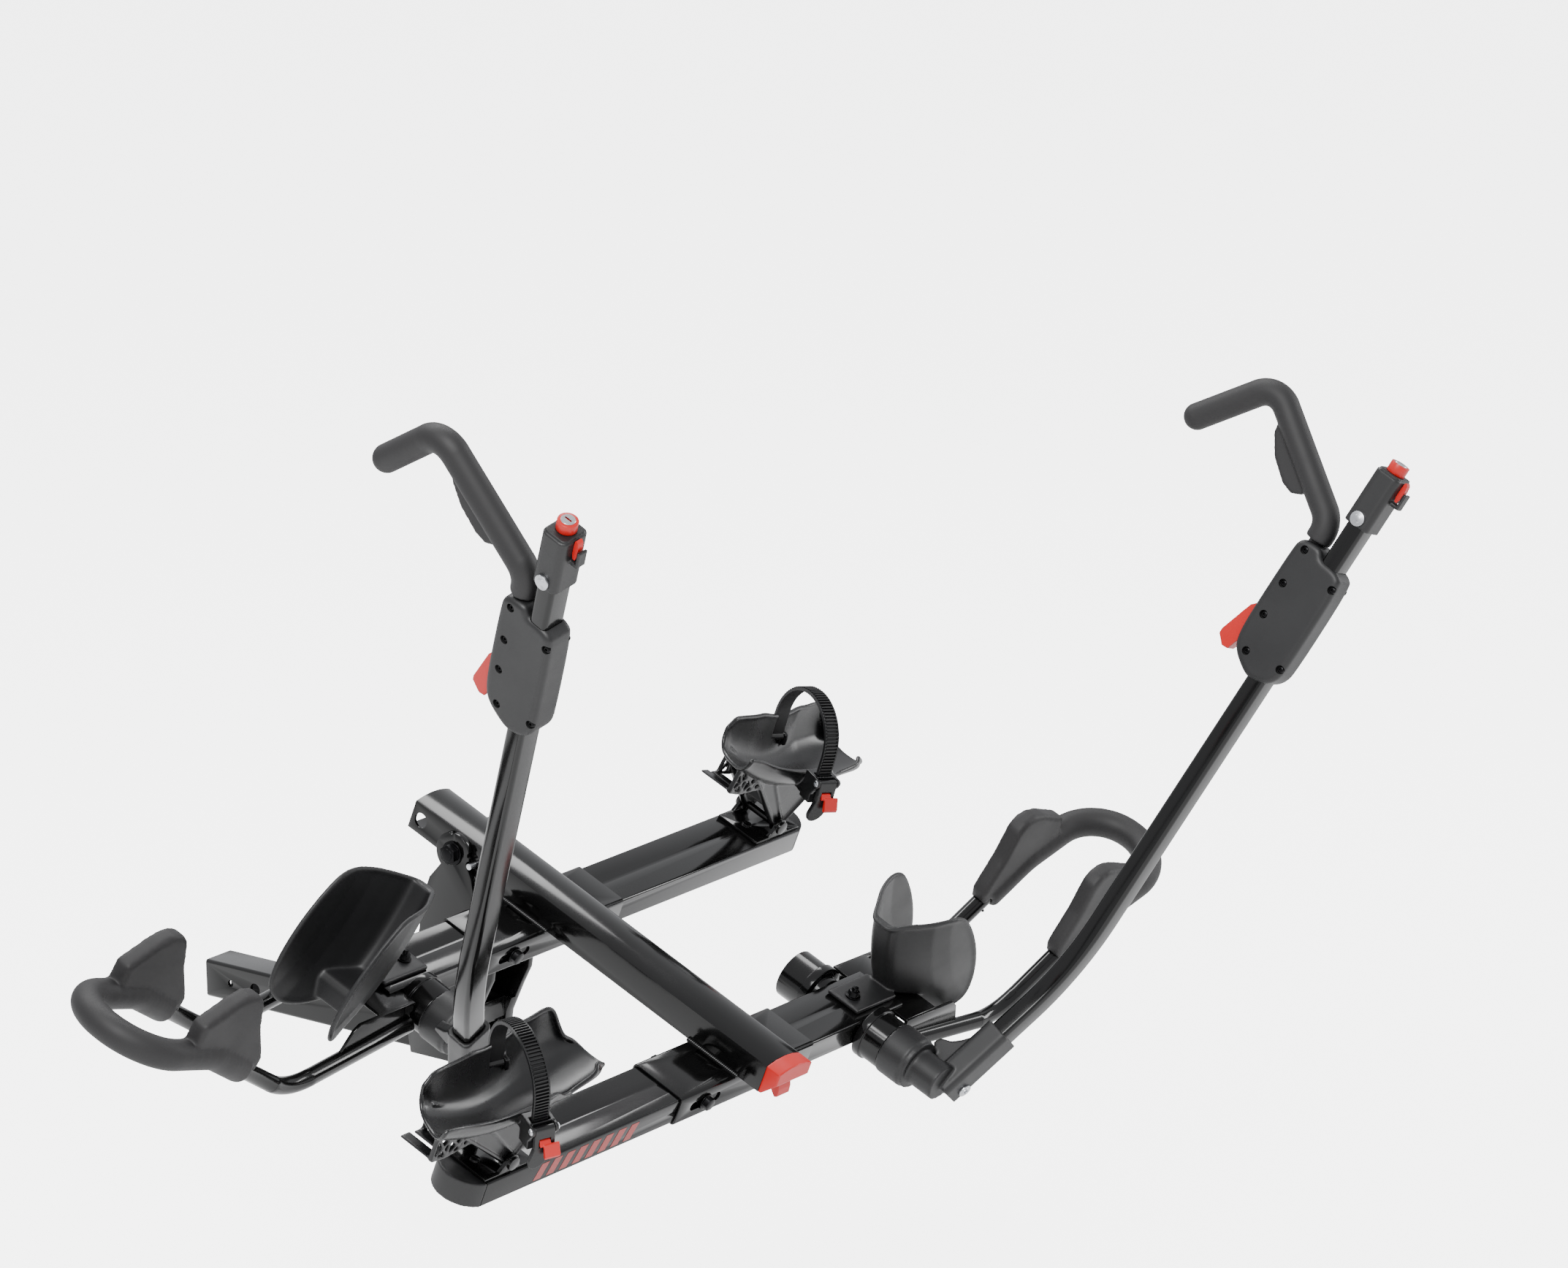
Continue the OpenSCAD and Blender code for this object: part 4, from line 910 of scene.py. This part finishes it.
def plate(outline, y0, y1, turn=Matrix()):
    """A flat plate with an outline of (x, z) points, from y0 to y1, all in mm."""
    return slab("plate", across(outline), y0 / 1000, y1 / 1000, turn @ across_to_along)


def strut(x0, z0, x1, z1, width, y0, y1):
    """A straight rib between two points of the side view, in mm."""
    run = Vector((x1 - x0, z1 - z0)).normalized() * width / 2
    return plate([(x0 - run.y, z0 + run.x), (x0 + run.y, z0 - run.x), (x1 + run.y, z1 - run.x),
                  (x1 - run.y, z1 + run.x)], y0, y1)


# the trunk, in mm: its two plates from the pivot's eye up to the trough, and its ribs as strut takes them
trunk_plates = ((-26.5, -21.5), (21.5, 26.5))
trunk_foot = ((-9, -4), (9, -4), (44, 58))
trunk_top = (60, -116)
trunk_sink = 1.5
eye_radius = 9.5
trunk_ribs = ((-112, 73, -10, 2, 3.4, -30, -20), (10, 2, 50, 62, 3.4, -30, -20),
              (-112, 73, -10, 2, 3.4, 20, 30), (10, 2, 50, 62, 3.4, 20, 30),
              (-60, 66, 4, 8, 3, -29, -21), (-30, 62, -30, 20, 3, -26, 26))
# the open lattice under the outer end, in mm: its posts as place, foot and head, on two skewed planes, and
# the ties between these
keel_posts = ((-158, 52, 88), (-132, 50, 76), (-106, 54, 70), (-82, 57, 66))
keel_planes = ((-27, -21), (21, 26))
keel_skew = 0.8
keel_width = 4
tie_lead = 1.3
tie_length = 16
tie_thick = 3
tie_half = 26


def trunk():
    """The trunk's plates, eyes and ribs."""
    x0, x1 = trunk_top
    places = [x0 + (x1 - x0) * k / 9 for k in range(10)]
    top = [(x, trough_floor(x / 1000) * 1000 - trunk_sink) for x in places]
    eye = [(c.x, c.y) for c in ring(eye_radius, 0, 28)]
    made = [plate(outline, y0, y1) for y0, y1 in trunk_plates for outline in (list(trunk_foot) + top, eye)]
    return made + [strut(*rib) for rib in trunk_ribs]


def keel():
    """Posts, chords and crossed diagonals on both planes of the keel, and the ties between the planes."""
    made = []
    for y0, y1 in keel_planes:
        shift = keel_skew * (y0 - keel_planes[0][0])
        for (xa, low_a, high_a), (xb, low_b, high_b) in zip(keel_posts, keel_posts[1:]):
            for x0, z0, x1, z1 in ((xa, low_a, xb, low_b), (xa, high_a, xb, high_b),
                                   (xa, low_a, xa, high_a), (xa, low_a, xb, high_b), (xa, high_a, xb, low_b)):
                made.append(strut(x0 + shift, z0, x1 + shift, z1, keel_width, y0, y1))
    for x, low, high in keel_posts[:2]:
        x0, x1, top = x - tie_lead, x + tie_length, low + tie_thick
        made.append(plate([(x0, low), (x1, low), (x1, top), (x0, top)], -tie_half, tie_half))
    return made


# the strap's own frame on the scoop, where its arch stands in the plane x = 0, and the sizes of the strap,
# of its mounts and of the notch in the far wall, in mm
strap_turn = (Matrix.Translation(Vector((-0.0206, -0.0136, 0.129)))
              @ Matrix.Rotation(math.radians(-21), 4, "Z") @ Matrix.Rotation(math.radians(-13), 4, "Y"))
strap_width = 21
strap_reach = 60
strap_anchor = -36
lug_gap = 1
lug_width = 6
lug_front = strap_reach - 6
lug_low = strap_anchor - 12
lug_height = 17
lug_depths = (12, 19)
pin_half = 1.8
boss_at = (-45, -30)
boss_outline = ((0, -12), (15, -12), (18, -20), (22, -28), (27, -36), (0, -38))
boss_sides = (-6, 12)
notch_play = 0.7
notch_front = strap_reach - 9
notch_foot = strap_anchor + 1
notch_depth = 40
notch_height = 120


def block(corner, size):
    """A rectangular block of a size in the strap's frame, from its corner, both in mm."""
    x, y, z = corner
    a, b, c = size
    return plate([(x, z), (x + a, z), (x + a, z + c), (x, z + c)], y, y + b, strap_turn)


def strap_mounts():
    """The two lugs and the pin that hold the strap, and the boss under its buckle."""
    half = strap_width / 2
    left = -half - lug_gap - lug_width
    boss = across([(boss_at[0] + y, boss_at[1] + z) for y, z in boss_outline])
    return [block((left, lug_front, lug_low), (lug_width, lug_depths[0], lug_height)),
            block((half + lug_gap, lug_front, lug_low), (lug_width, lug_depths[1], lug_height)),
            block((left, strap_reach - pin_half, strap_anchor - pin_half),
                  (-2 * left, 2 * pin_half, 2 * pin_half)),
            slab("boss", boss, boss_sides[0] / 1000, boss_sides[1] / 1000, strap_turn)]


def wheel_scoop(side):
    """The whole moulding, made about its own pivot, with a notch in the far wall for the strap's leg."""
    piece = trough_shell(side + "_wheel_scoop")
    for more in rim_beads() + trunk() + keel() + strap_mounts():
        join_in(piece, more)
    remoulded(piece, 1.4, 7)
    half = strap_width / 2 + notch_play
    notch = block((-half, notch_front, notch_foot), (2 * half, notch_depth, notch_height))
    cut_away(piece, [notch], 50)
    piece.data.transform(scoop_frame(side))
    hand_over(piece, smooth_nylon, side + "_scoop", "black_plastic", side + "_rear_scoop")


for side in sides:
    wheel_scoop(side)


# ---------- wheel straps ----------
# A toothed urethane strap arches over the wheel, from its pin on the scoop to a small ratchet buckle. The
# buckle's paddle turns on two bright screws, and a red tab releases it. The strap's sizes are in mm.
strap_end = -46
strap_thick = 4
edge_width = 1.9
edge_foot = 2.5
edge_depth = 1.6
tooth_pitch = 4.4
tooth_sink = 0.9
tooth_short = 1.6
tooth_outline = ((-1.1, -1), (1.1, -1), (0.7, 2.4), (-0.7, 2.4))
strap_eye = 5
# where the buckle's screws sit on its cheeks, in metres, and their radius, height and socket
buckle_axis = (-0.073, -0.030)
cheek_face = 0.017
buckle_screw = (0.0044, 0.0022, 0.0016)


def strap_line(radius):
    """The strap's path at a radius of its arch, from its anchor to its free end, in mm."""
    arch = [Vector((0, radius * math.cos(math.radians(a)), radius * math.sin(math.radians(a))))
            for a in range(0, 181, 5)]
    return [Vector((0, radius, strap_anchor))] + arch + [Vector((0, -radius, strap_end))]


def strap_teeth(name, turn):
    """Bars across the strap at even steps along the outer face of its arch and its free end."""
    spots = []
    facings = []
    line = strap_line(strap_reach + strap_thick / 2 - tooth_sink)[1:]
    travel = 0.0
    step = 0.0
    for a, b in zip(line, line[1:]):
        run = (b - a).normalized()
        length = (b - a).length
        while step <= travel + length:
            spots.append(turn @ (a.lerp(b, (step - travel) / length) / 1000))
            facings.append(turn.to_3x3() @ Vector((0, run.z, -run.y)))
            step += tooth_pitch
        travel += length
    half = (strap_width / 2 - tooth_short) / 1000
    tooth = slab("tooth", across(tooth_outline), -half, half, Matrix())
    return repeated(name, spots, facings, tooth, strap_urethane, turn.to_3x3() @ Vector((1, 0, 0)), 30)


def wheel_strap(side):
    """A flat band with raised edges, its ladder of teeth and the eye round its pin."""
    turn = scoop_frame(side) @ strap_turn
    half = strap_width / 2
    top = strap_thick / 2
    inner = half - edge_foot
    section = ((-half, -top), (half, -top), (half, top), (half - edge_width, top),
               (inner, top - edge_depth), (-inner, top - edge_depth), (edge_width - half, top), (-half, top))
    line = strap_line(strap_reach)
    rows = []
    for i, p in enumerate(line):
        run = run_at(line, i)
        rows.append([p + Vector((x, 0, 0)) + Vector((0, run.z, -run.y)) * h for x, h in section])
    piece = loft(side + "_wheel_strap", rows, turn @ Matrix.Scale(0.001, 4))
    join_in(piece, strap_teeth(side + "_strap_teeth", turn))
    join_in(piece, peg("eye", strap_reach / 1000, strap_anchor / 1000, -half / 1000, half / 1000,
                       strap_eye / 1000, turn))
    shade(piece, 30)
    hand_over(piece, strap_urethane, side + "_strap", "strap_plastic", side + "_strap")


def buckle_screws(side):
    """The bright screws on which the buckle's paddle turns."""
    piece = screwed(side + "_buckle_screws", [(way * cheek_face, *buckle_axis) for way in (-1, 1)],
                    screw_head(*buckle_screw), zinc_plate, scoop_frame(side) @ strap_turn)
    hand_over(piece, zinc_plate, side + "_scoop", "zinc_steel")


for side in sides:
    wheel_strap(side)
    moulded(side + "_buckle_base", side + "_buckle_frame", smooth_nylon, "black_plastic", side + "_scoop",
            0.7, 3)
    buckle_screws(side)
    moulded(side + "_buckle_lever", side + "_buckle_paddle", smooth_nylon, "black_plastic",
            side + "_ratchet", 0.6, 3)
    moulded(side + "_buckle_release", side + "_buckle_tab", red_nylon, "red_plastic",
            side + "_release", 0.5, 3)
